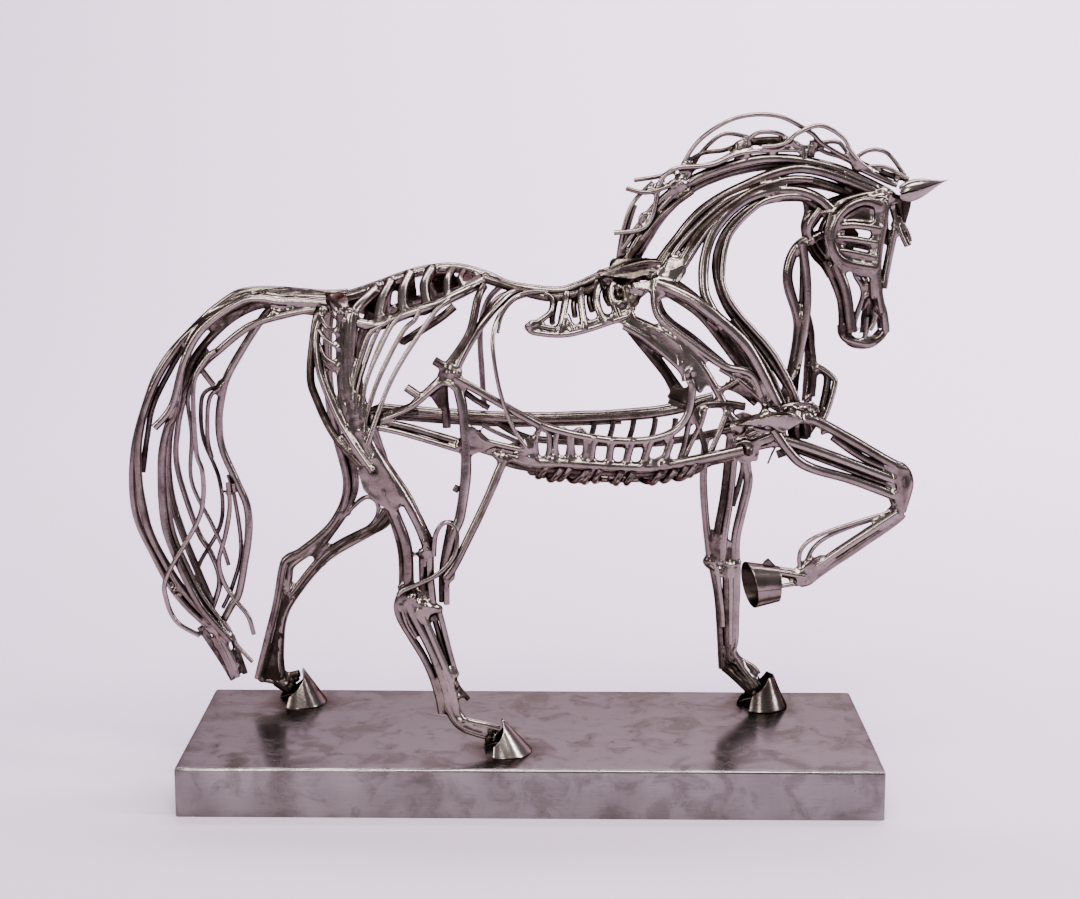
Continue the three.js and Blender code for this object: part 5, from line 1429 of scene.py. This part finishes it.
class Head(WeldedWork):
    """The head: a cheek ring with four slats, jaw and nose rods, and a round lip."""

    def draw(self) -> None:
        """Bend the head's rods, near side and far side."""
        y = -16
        self.rods = [
            side(H - 0.6, MID, y, (243, 425), (230, 428), (215, 419), (210, 402), (217, 387), (241, 381.5)),
            side(W, LIGHT, y - 1, (208, 420), (205.5, 403), (211, 388), (215, 384)),
            side(R, LIGHT, y, (216, 411), (226, 411.5), (243, 409)),
            side(R - 0.6, LIGHT, y, (211, 402.5), (222, 402), (242, 399)),
            side(R - 0.6, LIGHT, y, (213, 393.5), (222, 392.5), (242, 388.5)),
            side(T, LIGHT, y, (217, 386), (225, 384.5), (241, 380)),
            side(R, LIGHT, y, (245, 428), (246, 418), (242, 380), (247, 350)),
            side(R, LIGHT, y + 2, (240, 414), (239, 386), (241, 360)),
            side(H, MID, y + 2, (213, 384), (221, 365), (226, 336)),
            side(R, DARK, y + 6, (206, 386), (216, 364), (219, 352), (220, 334)),
            rod(R + 0.4, BRIGHT, (255, -4, 407), (250, -4, 376), (248.5, -5, 366)),
            rod(R, LIGHT, (243, -10, 365), (249, -8, 350), (251.5, -7, 335)),
            rod(T, DARK, (246, -3, 400), (244, -3, 374), (246, -4, 362)),
            side(T, LIGHT, -10, (226, 384), (228, 376), (234, 363), (228, 342), (230, 336)),
            side(T, DARK, -6, (232, 382), (238, 362), (238, 340)),
            side(T, LIGHT, -10, (243, 358), (242, 343), (239, 337)),
            side(W, BRIGHT, -11, (237, 346), (236.5, 338), (235.5, 331)),
            rod(R, LIGHT, (219, -8, 340), (220, -9, 334), (224, -10, 330), (237, -10, 327), (242, -9, 328)),
            rod(R, DARK, (242, -9, 329), (247, -8, 331), (251, -6, 336)),
            rod(R, DARK, (221, -4, 333), (227, -3, 327), (234, -2, 325), (242, -2, 326), (248, -3, 331)),
            side(R, LIGHT, (-9, -6), (202, 422.5), (195, 412), (194.5, 405), (197, 400)),
            rod(R, DARK, (192, -2, 429), (194, -2, 420), (192, -2, 410), (193, -3, 402)),
            rod(R, BLACK, (198, 2, 404), (197, 2, 396), (201, 2, 388), (207, 2, 382), (212, 1, 374)),
            side(T, BLACK, -2, (196, 400), (200, 392), (206, 385)),
            rod(R, MID, (210, -10, 422), (216, -10, 427), (234, -8, 432), (245, -8, 432)),
            rod(R, DARK, (206, 0, 424), (214, 2, 428), (240, 5, 433), (252, 4, 433)),
            side(R, DARK, 14, (240, 428), (226, 427), (212, 416), (206, 403), (208, 390), (217, 383),
                (232, 380)),
            rod(R, DARK, (214, 12, 383), (223, 8, 348), (223, 7, 334)),
            side(R, DARK, (12, 6), (244, 428), (247, 404), (246, 384), (250, 336)),
            rod(T, DARK, (210, 14, 399), (226, 14, 396), (245, 12, 392)),
            rod(T, DARK, (207, 14, 410), (226, 14, 410), (246, 12, 408)),
            rod(R, DARK, (223, 7, 334), (232, 6, 326), (242, 5, 326), (250, 6, 334)),
            rod(T, DARK, (250, -6, 430), (254, -4, 420), (257, -3, 410)),
            side(T, DARK, (0, -2), (258, 414), (262, 405), (266, 396)),
            side(W, MID, -5, (257, 412), (260, 404), (264, 396)),
            side(W, LIGHT, -2, (261, 412), (265, 406), (267, 399)),
        ]
        self.plates = [
            plate(2.4, DARK, (213, y + 2, 416), (222, y + 2, 425), (232, y + 2, 427), (243, y + 2, 424),
                (243, y + 2, 413), (228, y + 2, 415)),
            # Painted shade: this black plate stands for the dark inside of the cheek ring behind the slats.
            plate(2.4, BLACK, (211, y + 8, 410), (222, y + 8, 414), (230, y + 8, 405), (226, y + 8, 392),
                (214, y + 8, 390)),
            plate(3.4, LIGHT, (238, y, 429), (246, y, 431), (248, y, 424), (247, y, 410), (244, y, 398),
                (244, y, 382), (244, y, 366), (240, y, 366), (239, y, 380), (238, y, 396), (238, y, 406),
                (242, y, 414), (243, y, 420), (240, y, 425)),
            plate(3, MID, (209, y, 414), (214, y, 420), (219, y, 418), (215, y, 410), (214, y, 402),
                (219, y, 396), (224, y, 392), (219, y, 388), (212, y, 391), (208, y, 402)),
            plate(3, MID, (217, y, 384), (226, y, 382), (241, y, 378), (242, y, 374), (230, y, 376),
                (218, y, 380)),
            plate(4, MID, (241, -12, 366), (246, -12, 362), (249, -11, 352), (247, -11, 346),
                (243, -12, 350), (239, -12, 360)),
            plate(5, LIGHT, (240, -8, 436), (250, -8, 437), (256, -8, 432), (258, -8, 427), (250, -9, 425),
                (244, -10, 428)),
            plate(3, BLACK, (192, -1, 428), (203, 0, 422), (205, 0, 416), (197, 0, 404), (193, 0, 405),
                (195, -1, 416)),
            plate(3, BLACK, (198, 3, 404), (206, 4, 404), (208, 4, 392), (216, 3, 380), (211, 2, 374),
                (203, 2, 386), (197, 2, 394)),
            flat(3, BLACK, -4, (234, 366), (241, 364), (243, 350), (240, 334), (232, 334), (236, 350)),
            plate(3, BLACK, (247, 4, 418), (253, 4, 414), (252, 2, 398), (248, 2, 400)),
        ]
        self.lumps = [
            (209, -11, 421, 4.8), (214, -16, 386, 4), (219, -15, 386, 3.4), (243, -14, 428, 4.4),
            (249, -10, 432, 4.6), (254, -8, 430, 4), (252, -6, 425, 3.6), (242, -15, 364, 3.4),
            (240, -10, 330, 3.4), (243, -9, 330, 3.6), (222, -9, 333, 3.6), (226, -10, 329, 3.4),
            (233, -10, 368, 3), (234, -10, 362, 2.8), (196, -5, 402, 4), (215, -15, 381, 3),
            (256, -4, 411, 4), (259, -3, 414, 3.4), (246, -8, 435, 3.8), (251, -6, 336, 3.2),
            (232, -6, 327, 3.4), (221, -4, 334, 3.6),
        ]


# ---------------------------------------------------------------- sheet pieces


@dataclass
class ConeSheet:
    """A hoof or an ear: a cone of sheet steel bent round until its edges nearly meet.

    Angle 0 points along u, and the sheet is open on the other side when span is under a full turn.
    """

    name: str
    node: str
    slot: str
    base: Point
    base_u: Point
    base_v: Point
    tip: Point
    tip_u: Point
    tip_v: Point
    span: float = 290.0
    wall: float = 1.5
    tone: float = 0.75
    columns: int = 72
    rows: int = 22
    bulge: float = 0.0
    cap: bool = True

    def point(self, along: float, angle: float) -> Vector:
        """Find a point of the cone.

        Args:
            along: 0 at the wide ring and 1 at the narrow one.
            angle: The angle round the ring.

        Returns:
            The point, in metres.
        """
        centre = Vector(self.base).lerp(Vector(self.tip), along)
        u = Vector(self.base_u).lerp(Vector(self.tip_u), along)
        v = Vector(self.base_v).lerp(Vector(self.tip_v), along)
        swell = 1.0 + self.bulge * math.sin(math.pi * along)
        hammer = 1.0 + 0.012 * noise.noise(Vector((angle * 1.3, along * 2.0, self.base[0])))
        return (centre + (u * math.cos(angle) + v * math.sin(angle)) * swell * hammer) * MM

    def shell(self) -> bpy.types.Mesh:
        """Roll the sheet and give it its thickness."""
        shape = bmesh.new()
        half = math.radians(self.span) / 2
        grid = [[shape.verts.new(self.point(r / self.rows, -half + 2 * half * c / self.columns))
                 for c in range(self.columns + 1)] for r in range(self.rows + 1)]
        for lower, upper in zip(grid, grid[1:]):
            strip(shape, lower, upper)
        bmesh.ops.remove_doubles(shape, verts=shape.verts[:], dist=1e-6)
        bmesh.ops.recalc_face_normals(shape, faces=shape.faces[:])
        raw = bpy.data.meshes.new(self.name)
        shape.to_mesh(raw)
        shape.free()
        holder = bpy.data.objects.new(self.name, raw)
        bpy.context.scene.collection.objects.link(holder)
        wall = holder.modifiers.new("wall", "SOLIDIFY")
        wall.thickness = self.wall * MM
        wall.offset = -1.0
        edge = holder.modifiers.new("edge", "BEVEL")
        edge.width = 0.35 * MM
        edge.segments = 2
        edge.limit_method = "ANGLE"
        edge.angle_limit = math.radians(50)
        return evaluated(holder)

    def crown(self) -> bpy.types.Mesh:
        """Close the narrow ring with a small domed plate."""
        shape = bmesh.new()
        centre = Vector(self.tip) * MM
        lift = (Vector(self.tip) - Vector(self.base)).normalized() * 1.6 * MM
        rings: list[list[bmesh.types.BMVert]] = []
        for reach, height in ((0.94, -0.6), (1.0, 0.1), (0.92, 0.75), (0.6, 1.05), (0.25, 1.15)):
            ring = []
            for c in range(40):
                angle = 2 * math.pi * c / 40
                out = (Vector(self.tip_u) * math.cos(angle) + Vector(self.tip_v) * math.sin(angle)) * MM
                ring.append(shape.verts.new(centre + out * reach + lift * height))
            rings.append(ring)
        for lower, upper in zip(rings, rings[1:]):
            strip(shape, lower + lower[:1], upper + upper[:1])
        shape.faces.new(rings[-1])
        shape.faces.new(rings[0][::-1])
        bmesh.ops.recalc_face_normals(shape, faces=shape.faces[:])
        mesh = bpy.data.meshes.new("crown")
        shape.to_mesh(mesh)
        shape.free()
        return mesh

    def tones(self, mesh: bpy.types.Mesh) -> list[float]:
        """Give every point its burnish; the inside of an open cone gets a tone below black, as painted shade.

        Args:
            mesh: The rolled sheet.

        Returns:
            One tone for each point.
        """
        base, u, v = Vector(self.base), Vector(self.base_u), Vector(self.base_v)
        axis = Vector(self.tip) - base
        taper = 1.0 - Vector(self.tip_v).length / v.length
        found = []
        for vert in mesh.vertices:
            out = vert.co / MM - base
            along = out.dot(axis) / axis.length_squared
            across = out - axis * along
            wide = math.hypot(across.dot(u) / u.length_squared, across.dot(v) / v.length_squared)
            inside = not self.cap and wide < 0.95 * (1.0 - along * taper)
            found.append(INSIDE_SHADE if inside else self.tone)
        return found

    def build(self, shop: Workshop) -> bpy.types.Object:
        """Roll the cone, cap it and tie it to the frame.

        Args:
            shop: The shared trees and finishes.

        Returns:
            The finished piece.
        """
        meshes = [self.shell()]
        if self.cap:
            meshes.append(self.crown())
        for mesh in meshes:
            mesh.attributes.new("tone", "FLOAT", "POINT").data.foreach_set("value", self.tones(mesh))
        piece = joined(self.name, meshes, shop.rod_steel)
        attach(piece, "root")
        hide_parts(self.node)
        shop.pieces.append(piece)
        LOG.info("%s: %d faces", self.name, len(piece.data.polygons))
        return piece


@dataclass
class Hoof:
    """A hoof cut from sheet and bent round the toe, so that its heel stays open; its inside is darkened as
    painted shade.

    The sheet runs from the near edge's angle round the toe to the far edge's angle, in degrees from +X.
    """

    name: str
    node: str
    slot: str
    centre: tuple[float, float]
    radius: float
    apex: Point
    crown: float = 2.4
    near_edge: float = -118.0
    far_edge: float = 150.0
    shoulder: float = 25.0
    heel: float = 150.0
    wall: float = 1.6
    tone: float = 0.85
    columns: int = 64
    rows: int = 20

    def point(self, along: float, angle: float, inset: float) -> Vector:
        """Find a point of the sheet.

        Args:
            along: 0 at the plinth and 1 at the crown.
            angle: The angle round the hoof.
            inset: How far inside the outer face the point lies, in mm.

        Returns:
            The point, in metres.
        """
        turned = (abs(math.degrees(angle)) - self.shoulder) / (self.heel - self.shoulder)
        along *= 1.0 - min(0.75, max(0.0, turned))
        foot = Vector((*self.centre, 36.3))
        reach = self.radius + (self.crown - self.radius) * along - inset
        hammer = Vector((math.cos(angle), math.sin(angle), along * 1.5 + self.radius))
        reach *= 1.0 + 0.03 * noise.noise(hammer)
        middle = foot.lerp(Vector(self.apex), along)
        dip = 2.2 * noise.noise(Vector((angle * 1.1, self.radius, 0.0))) * along ** 4
        return (middle + Vector((math.cos(angle) * reach, math.sin(angle) * reach, dip))) * MM

    def build(self, shop: Workshop) -> bpy.types.Object:
        """Bend the sheet, darken its inside as painted shade and tie it to the frame.

        Args:
            shop: The shared trees and finishes.

        Returns:
            The finished hoof.
        """
        shape = bmesh.new()
        layer = shape.verts.layers.float.new("tone")
        first, last = math.radians(self.near_edge), math.radians(self.far_edge)
        skins = []
        for inset, tone in ((0.0, self.tone), (self.wall, INSIDE_SHADE)):
            grid = []
            for r in range(self.rows + 1):
                row = []
                for c in range(self.columns + 1):
                    angle = first + (last - first) * c / self.columns
                    vert = shape.verts.new(self.point(r / self.rows, angle, inset))
                    vert[layer] = tone
                    row.append(vert)
                grid.append(row)
            skins.append(grid)
        for grid in skins:
            for lower, upper in zip(grid, grid[1:]):
                strip(shape, lower, upper)
        for row in (0, self.rows):
            strip(shape, skins[0][row], skins[1][row])
        for column in (0, self.columns):
            strip(shape, [row[column] for row in skins[0]], [row[column] for row in skins[1]])
        bmesh.ops.recalc_face_normals(shape, faces=shape.faces[:])
        sharp = [e for e in shape.edges if len(e.link_faces) == 2 and e.calc_face_angle() > math.radians(50)]
        bmesh.ops.bevel(shape, geom=sharp, offset=0.35 * MM, segments=2, profile=0.5, affect="EDGES")
        mesh = bpy.data.meshes.new(self.name)
        shape.to_mesh(mesh)
        shape.free()
        lumps = bpy.data.meshes.new("crown_welds")
        below = ((-2.0, 0.0, -8.0), (-5.0, -1.0, -10.0), (-8.0, 1.0, -12.0), (-6.0, -3.0, -14.0))
        spots = [Vector(self.apex) + Vector(offset) for offset in below]
        lumps.from_pydata([spot * MM for spot in spots], [], [])
        sizes = [(3.0 + 0.2 * i) * MM for i in range(len(spots))]
        lumps.attributes.new("size", "FLOAT", "POINT").data.foreach_set("value", sizes)
        welds = grown(lumps, shop.weld_tree, {"Pitting": 0.9 * MM, "Seed": 5, "Material": shop.rod_steel})
        piece = joined(self.name, [mesh, welds], shop.rod_steel)
        shop.welds += [spot * MM for spot in spots]
        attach(piece, "root")
        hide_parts(self.node)
        shop.pieces.append(piece)
        LOG.info("%s: %d faces", self.name, len(piece.data.polygons))
        return piece


@dataclass
class Plinth:
    """The plinth: sheet steel folded down on four sides, with mitred and welded corners."""

    wall: float = 3.0
    fold: float = 2.2
    wave: float = 0.35
    front_shade: float = 0.3

    def build(self, shop: Workshop) -> bpy.types.Object:
        """Fold the sheet to the frame's own box and dress it.

        Args:
            shop: The shared trees and finishes.

        Returns:
            The finished plinth.
        """
        low, high = (Vector(corner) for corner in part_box("plinth"))
        shape = bmesh.new()
        bmesh.ops.create_cube(shape, size=1.0)
        for vert in shape.verts:
            vert.co = Vector((low[i] if vert.co[i] < 0 else high[i] for i in range(3)))
        under = [f for f in shape.faces if f.normal.z < -0.5]
        bmesh.ops.delete(shape, geom=under, context="FACES_ONLY")
        edges = [e for e in shape.edges if not e.is_boundary]
        bmesh.ops.bevel(shape, geom=edges, offset=self.fold * MM, segments=5, profile=0.5, affect="EDGES")
        bmesh.ops.subdivide_edges(shape, edges=[e for e in shape.edges if e.calc_length() > 0.1], cuts=90,
                                  use_grid_fill=True)
        bmesh.ops.recalc_face_normals(shape, faces=shape.faces[:])
        raw = bpy.data.meshes.new("plinth")
        shape.to_mesh(raw)
        shape.free()
        self.dent(raw, low, high)
        holder = bpy.data.objects.new("plinth_holder", raw)
        bpy.context.scene.collection.objects.link(holder)
        wall = holder.modifiers.new("wall", "SOLIDIFY")
        wall.thickness = self.wall * MM
        wall.offset = -1.0
        mesh = evaluated(holder)
        for face in mesh.polygons:
            face.use_smooth = True
        mesh.set_sharp_from_angle(angle=math.radians(40))
        self.darkening(mesh)
        finish = GroundSheet("mild_steel_sheet_ground").material()
        piece = placed("plinth_sheet", mesh, finish)
        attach(piece, "root")
        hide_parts("plinth")
        LOG.info("plinth: %d faces", len(mesh.polygons))
        return piece

    def dent(self, mesh: bpy.types.Mesh, low: Vector, high: Vector) -> None:
        """Wave the faces slightly and crumple the near right corner.

        Args:
            mesh: The folded sheet.
            low: The plinth's lowest corner.
            high: Its highest corner.
        """
        for vert in mesh.vertices:
            push = (0.5 + 0.5 * noise.noise(vert.co * 11.0)) * self.wave * MM
            corner = (vert.co - Vector((high.x, low.y, high.z - 0.012))).length / 0.042
            if corner < 1.0:
                push += (0.5 + 0.5 * noise.noise(vert.co * 75.0)) * (1 - corner) ** 1.5 * 2.2 * MM
            middle = Vector((max(low.x + 0.03, min(high.x - 0.03, vert.co.x)),
                             max(low.y + 0.03, min(high.y - 0.03, vert.co.y)), 0.0))
            inward = middle - vert.co
            inward.z = -0.012 if vert.co.z > high.z - 0.003 else 0.0
            if inward.length > 0:
                vert.co += inward.normalized() * push

    def darkening(self, mesh: bpy.types.Mesh) -> None:
        """Paint shade on the sheet's front, darken a ring at its near right corner and darken the sheet
        around the hooves.
        """
        spots = [(Vector((-0.019, -0.052, 0.036)), 0.034), (Vector((-0.179, 0.058, 0.036)), 0.036),
                 (Vector((0.175, 0.055, 0.036)), 0.034)]
        front = min(vert.co.y for vert in mesh.vertices) + 1.5 * MM
        corner = Vector((0.238, -0.09, 0.018))
        marks = []
        for vert in mesh.vertices:
            dark = 0.0
            # Painted shade: the front face is darkened all over, unevenly, with a dark ring round the
            # crumpled corner.
            if vert.co.y < front and vert.co.z < 0.0345:
                unevenness = noise.noise(vert.co * 42.0)
                ring = abs((vert.co - corner).length - 0.011) + 0.003 * unevenness
                dark = max(self.front_shade + 0.35 * unevenness, 0.7 * (1.0 - ring / 0.005))
            for spot, reach in spots:
                gap = (vert.co - spot).length + 0.008 * noise.noise(vert.co * 60.0)
                dark = max(dark, 0.8 * (1.0 - gap / reach))
            marks.append(min(0.85, max(0.0, dark)))
        mesh.attributes.new("shade_and_dark_marks", "FLOAT", "POINT").data.foreach_set("value", marks)


# ---------------------------------------------------------------- studio


class Studio:
    """The plain studio: a pale sweep, soft lights and the camera."""

    def floor(self) -> None:
        """Lay a pale floor that curves up into a backdrop.

        Its colour carries painted light, lighter to the right, and painted shade, darker to the front.
        """
        shape = bmesh.new()
        profile = [(-2.6, 0.0), (1.3, 0.0)]
        profile += [(1.3 + 1.2 * math.sin(a), 1.2 * (1 - math.cos(a))) for a in
                    (math.pi / 2 * i / 24 for i in range(1, 25))]
        profile.append((2.5, 4.2))
        rows = [[shape.verts.new((x, y, z - 0.0002)) for x in (-4.5, 4.5)] for y, z in profile]
        for lower, upper in zip(rows, rows[1:]):
            shape.faces.new((lower[0], lower[1], upper[1], upper[0]))
        bmesh.ops.recalc_face_normals(shape, faces=shape.faces[:])
        for face in shape.faces:
            face.smooth = True
        mesh = bpy.data.meshes.new("studio_sweep")
        shape.to_mesh(mesh)
        shape.free()
        paper = bpy.data.materials.new("studio_sweep_painted_light_and_shade")
        paper.use_nodes = True
        tree = paper.node_tree
        shader = tree.nodes["Principled BSDF"]
        place = add(tree, "ShaderNodeTexCoord").outputs["Object"]
        axes = add(tree, "ShaderNodeSeparateXYZ", {}, {0: place}).outputs
        # Painted light: the colour grows lighter from left to right.
        light_across = add(tree, "ShaderNodeMapRange", {}, {
            "Value": axes["X"], "From Min": -1.0, "From Max": 1.0}).outputs[0]
        tint = add(tree, "ShaderNodeMix", {"data_type": "RGBA"}, {
            "Factor": light_across, 6: linear("ddcfe2"), 7: linear("f9ebfc")}).outputs[2]
        # Painted shade: the colour darkens towards the front.
        shade_to_front = add(tree, "ShaderNodeMapRange", {}, {
            "Value": axes["Y"], "From Min": 1.3, "From Max": -0.4}).outputs[0]
        shade = add(tree, "ShaderNodeMix", {"data_type": "RGBA", "blend_type": "MULTIPLY"}, {
            "Factor": shade_to_front, 6: tint, 7: (0.72, 0.68, 0.72, 1.0)}).outputs[2]
        tree.links.new(shade, shader.inputs["Base Color"])
        shader.inputs["Roughness"].default_value = 0.7
        mesh.materials.append(paper)
        sweep = bpy.data.objects.new("studio_sweep", mesh)
        bpy.context.scene.collection.objects.link(sweep)

    def lamp(self, name: str, place: Point, size: tuple[float, float], power: float, tint: str,
             aim: Point = (0.0, 0.0, 0.22)) -> None:
        """Hang one soft light.

        Args:
            name: The light's name.
            place: Where it hangs, in metres.
            size: Its width and height, in metres.
            power: Its power in watts.
            tint: Its colour.
            aim: The point it faces, in metres.
        """
        data = bpy.data.lights.new(name, "AREA")
        data.shape = "RECTANGLE"
        data.size, data.size_y = size
        data.energy = power
        data.color = linear(tint)[:3]
        lamp = bpy.data.objects.new(name, data)
        lamp.location = place
        lamp.rotation_euler = (Vector(aim) - Vector(place)).to_track_quat("-Z", "Y").to_euler()
        bpy.context.scene.collection.objects.link(lamp)

    def lights(self) -> None:
        """Hang the lights and set the dim surround."""
        self.lamp("overhead_soft_box", (0.1, -1.1, 2.1), (1.5, 0.6), 58.0, "fffaf6")
        self.lamp("left_soft_box", (-1.9, -0.8, 1.3), (0.28, 1.4), 34.0, "fff8f4")
        self.lamp("right_soft_box", (2.0, -0.5, 1.4), (0.32, 1.4), 56.0, "f8f6ff")
        self.lamp("front_soft_box", (-0.5, -2.0, 0.95), (0.28, 0.8), 15.0, "fffaf6")
        self.lamp("backdrop_wash", (0.4, 0.9, 2.6), (3.0, 0.8), 180.0, "f8f1ff", (0.5, 2.3, 0.7))
        world = bpy.data.worlds.new("studio_surround")
        world.use_nodes = True
        tree = world.node_tree
        ground = tree.nodes["Background"]
        ground.inputs["Color"].default_value = linear("d6d0d8")
        ground.inputs["Strength"].default_value = 0.42
        bpy.context.scene.world = world

    def camera(self) -> None:
        """Stand the camera a little above the horse's back, looking slightly down."""
        yaw, pitch, roll = math.radians(-0.22), math.radians(11.12), math.radians(0.245)
        forward = Vector((math.sin(yaw) * math.cos(pitch), math.cos(yaw) * math.cos(pitch), -math.sin(pitch)))
        right = Vector((math.cos(yaw), -math.sin(yaw), 0.0))
        up = right.cross(forward)
        across = right * math.cos(roll) + up * math.sin(roll)
        top = up * math.cos(roll) - right * math.sin(roll)
        data = bpy.data.cameras.new("camera")
        data.sensor_width = 36.0
        data.lens = 36.0 * 2000 / 1080
        data.clip_end = 50.0
        view = bpy.data.objects.new("camera", data)
        turn = Matrix((across, top, -forward)).transposed().to_4x4()
        view.matrix_world = Matrix.Translation((0.011, -1.421, 0.5265)) @ turn
        bpy.context.scene.collection.objects.link(view)
        bpy.context.scene.camera = view

    def build(self) -> None:
        """Set up everything around the horse."""
        self.floor()
        self.lights()
        self.camera()


# ---------------------------------------------------------------- assembly


def steelwork() -> list[WeldedWork]:
    """List the welded sub-assemblies with the nodes that each one stands for."""
    return [
        Back("steel_back", ("spine", "rump_grille_near", "rump_grille_far"), "bright_steel", seed=1),
        Tail("steel_tail", ("tail_outer", "tail_middle", "tail_inner", "tail_wire"), "rod_steel", seed=2),
        HaunchNear("steel_haunch_near", ("haunch_near", *(f"thigh_rib_{i}" for i in range(1, 5))),
                   "rod_steel", seed=3),
        HindNear("steel_hind_leg_near", ("thigh_plate_near", "cannon_near_hind"), "rod_steel", seed=4),
        HindFar("steel_hind_leg_far", ("haunch_far", "leg_far_hind"), "rod_steel", seed=5),
        HockWire("steel_hock_wire", ("hock_wire_near",), "bright_steel", seed=6),
        FlankNear("steel_flank_near", ("flank_near", "gaskin_rod_near"), "rod_steel", seed=7),
        Barrel("steel_barrel", ("belly_ladder_near", "belly_bar_far", "keel", "rib_near", "rib_far"),
               "bright_steel", seed=8),
        Shoulder("steel_shoulder", ("shoulder_near", "shoulder_far", "elbow_struts", "withers_ladder"),
                 "rod_steel", seed=9),
        Chest("steel_chest", ("chest",), "bright_steel", seed=10),
        ForelegRaised("steel_foreleg_near", ("foreleg_upper_near", "foreleg_lower_near"), "rod_steel",
                      seed=11),
        ForelegStanding("steel_foreleg_far", ("foreleg_upper_far", "foreleg_lower_far"), "rod_steel",
                        seed=12),
        Neck("steel_neck", ("crest", "neck_middle", "neck_front", "throat", "chest_hook"), "bright_steel",
             seed=13),
        Mane("steel_mane", tuple(f"mane_wire_{i}" for i in range(1, 6)), "bright_steel", seed=14),
        Head("steel_head", ("face_near", "face_far", "poll", "forelock"), "rod_steel", seed=15),
    ]


def hooves() -> list[Hoof]:
    """List the three hooves that stand on the plinth."""
    return [
        Hoof("hoof_near_hind_sheet", "hoof_near_hind", "bright_steel", (-18, -50), 19, (-24, -50, 59.5),
             tone=1.1, crown=4.6, shoulder=38.0),
        Hoof("hoof_far_hind_sheet", "hoof_far_hind", "sheet_steel", (-179, 60), 20.5, (-180, 60, 62),
             tone=0.5, crown=4.2, shoulder=34.0),
        Hoof("hoof_far_fore_sheet", "hoof_far_fore", "sheet_steel", (177, 56), 19.5, (177, 56, 60),
             tone=0.35, crown=9.0, near_edge=-128.0, far_edge=168.0, shoulder=62.0, heel=175.0),
    ]


def cones() -> list[ConeSheet]:
    """List the raised hoof and the ears."""
    return [
        ConeSheet("hoof_near_fore_sheet", "hoof_near_fore", "sheet_steel", (156, -36, 156.5), (-4.5, 15, 1),
                  (-2.5, -2, 17), (177, -35, 157), (-1, 12, 0.5), (0, -1, 13), tone=0.55, span=360,
                  wall=1.8, cap=False),
        ConeSheet("ear_near_sheet", "ear_near", "bright_steel", (257, -11, 433), (1, 4.5, 0), (-1, 0, 5.5),
                  (288, -13, 442.5), (0, 0.5, 0), (0, 0, 0.5), tone=1.0, span=350, bulge=1.05, wall=1.0),
        ConeSheet("ear_far_sheet", "ear_far", "dark_steel", (260, 5, 431), (0, 5, 0), (8, 0, 0),
                  (263, 3, 408), (0, 0.5, 0), (0.5, 0, 0), tone=0.0, span=350, bulge=0.2, wall=1.0),
    ]


def main() -> None:
    """Build the studio, then the plinth, the steelwork and the sheet pieces, and report each one."""
    logging.basicConfig(level=logging.INFO, format="%(message)s")
    Studio().build()
    shop = Workshop()
    Plinth().build(shop)
    for work in steelwork():
        work.build(shop)
    for sheet in (*hooves(), *cones()):
        sheet.build(shop)
    shop.paint_shade_and_heat()
    bpy.context.view_layer.update()


if __name__ == "__main__":
    main()
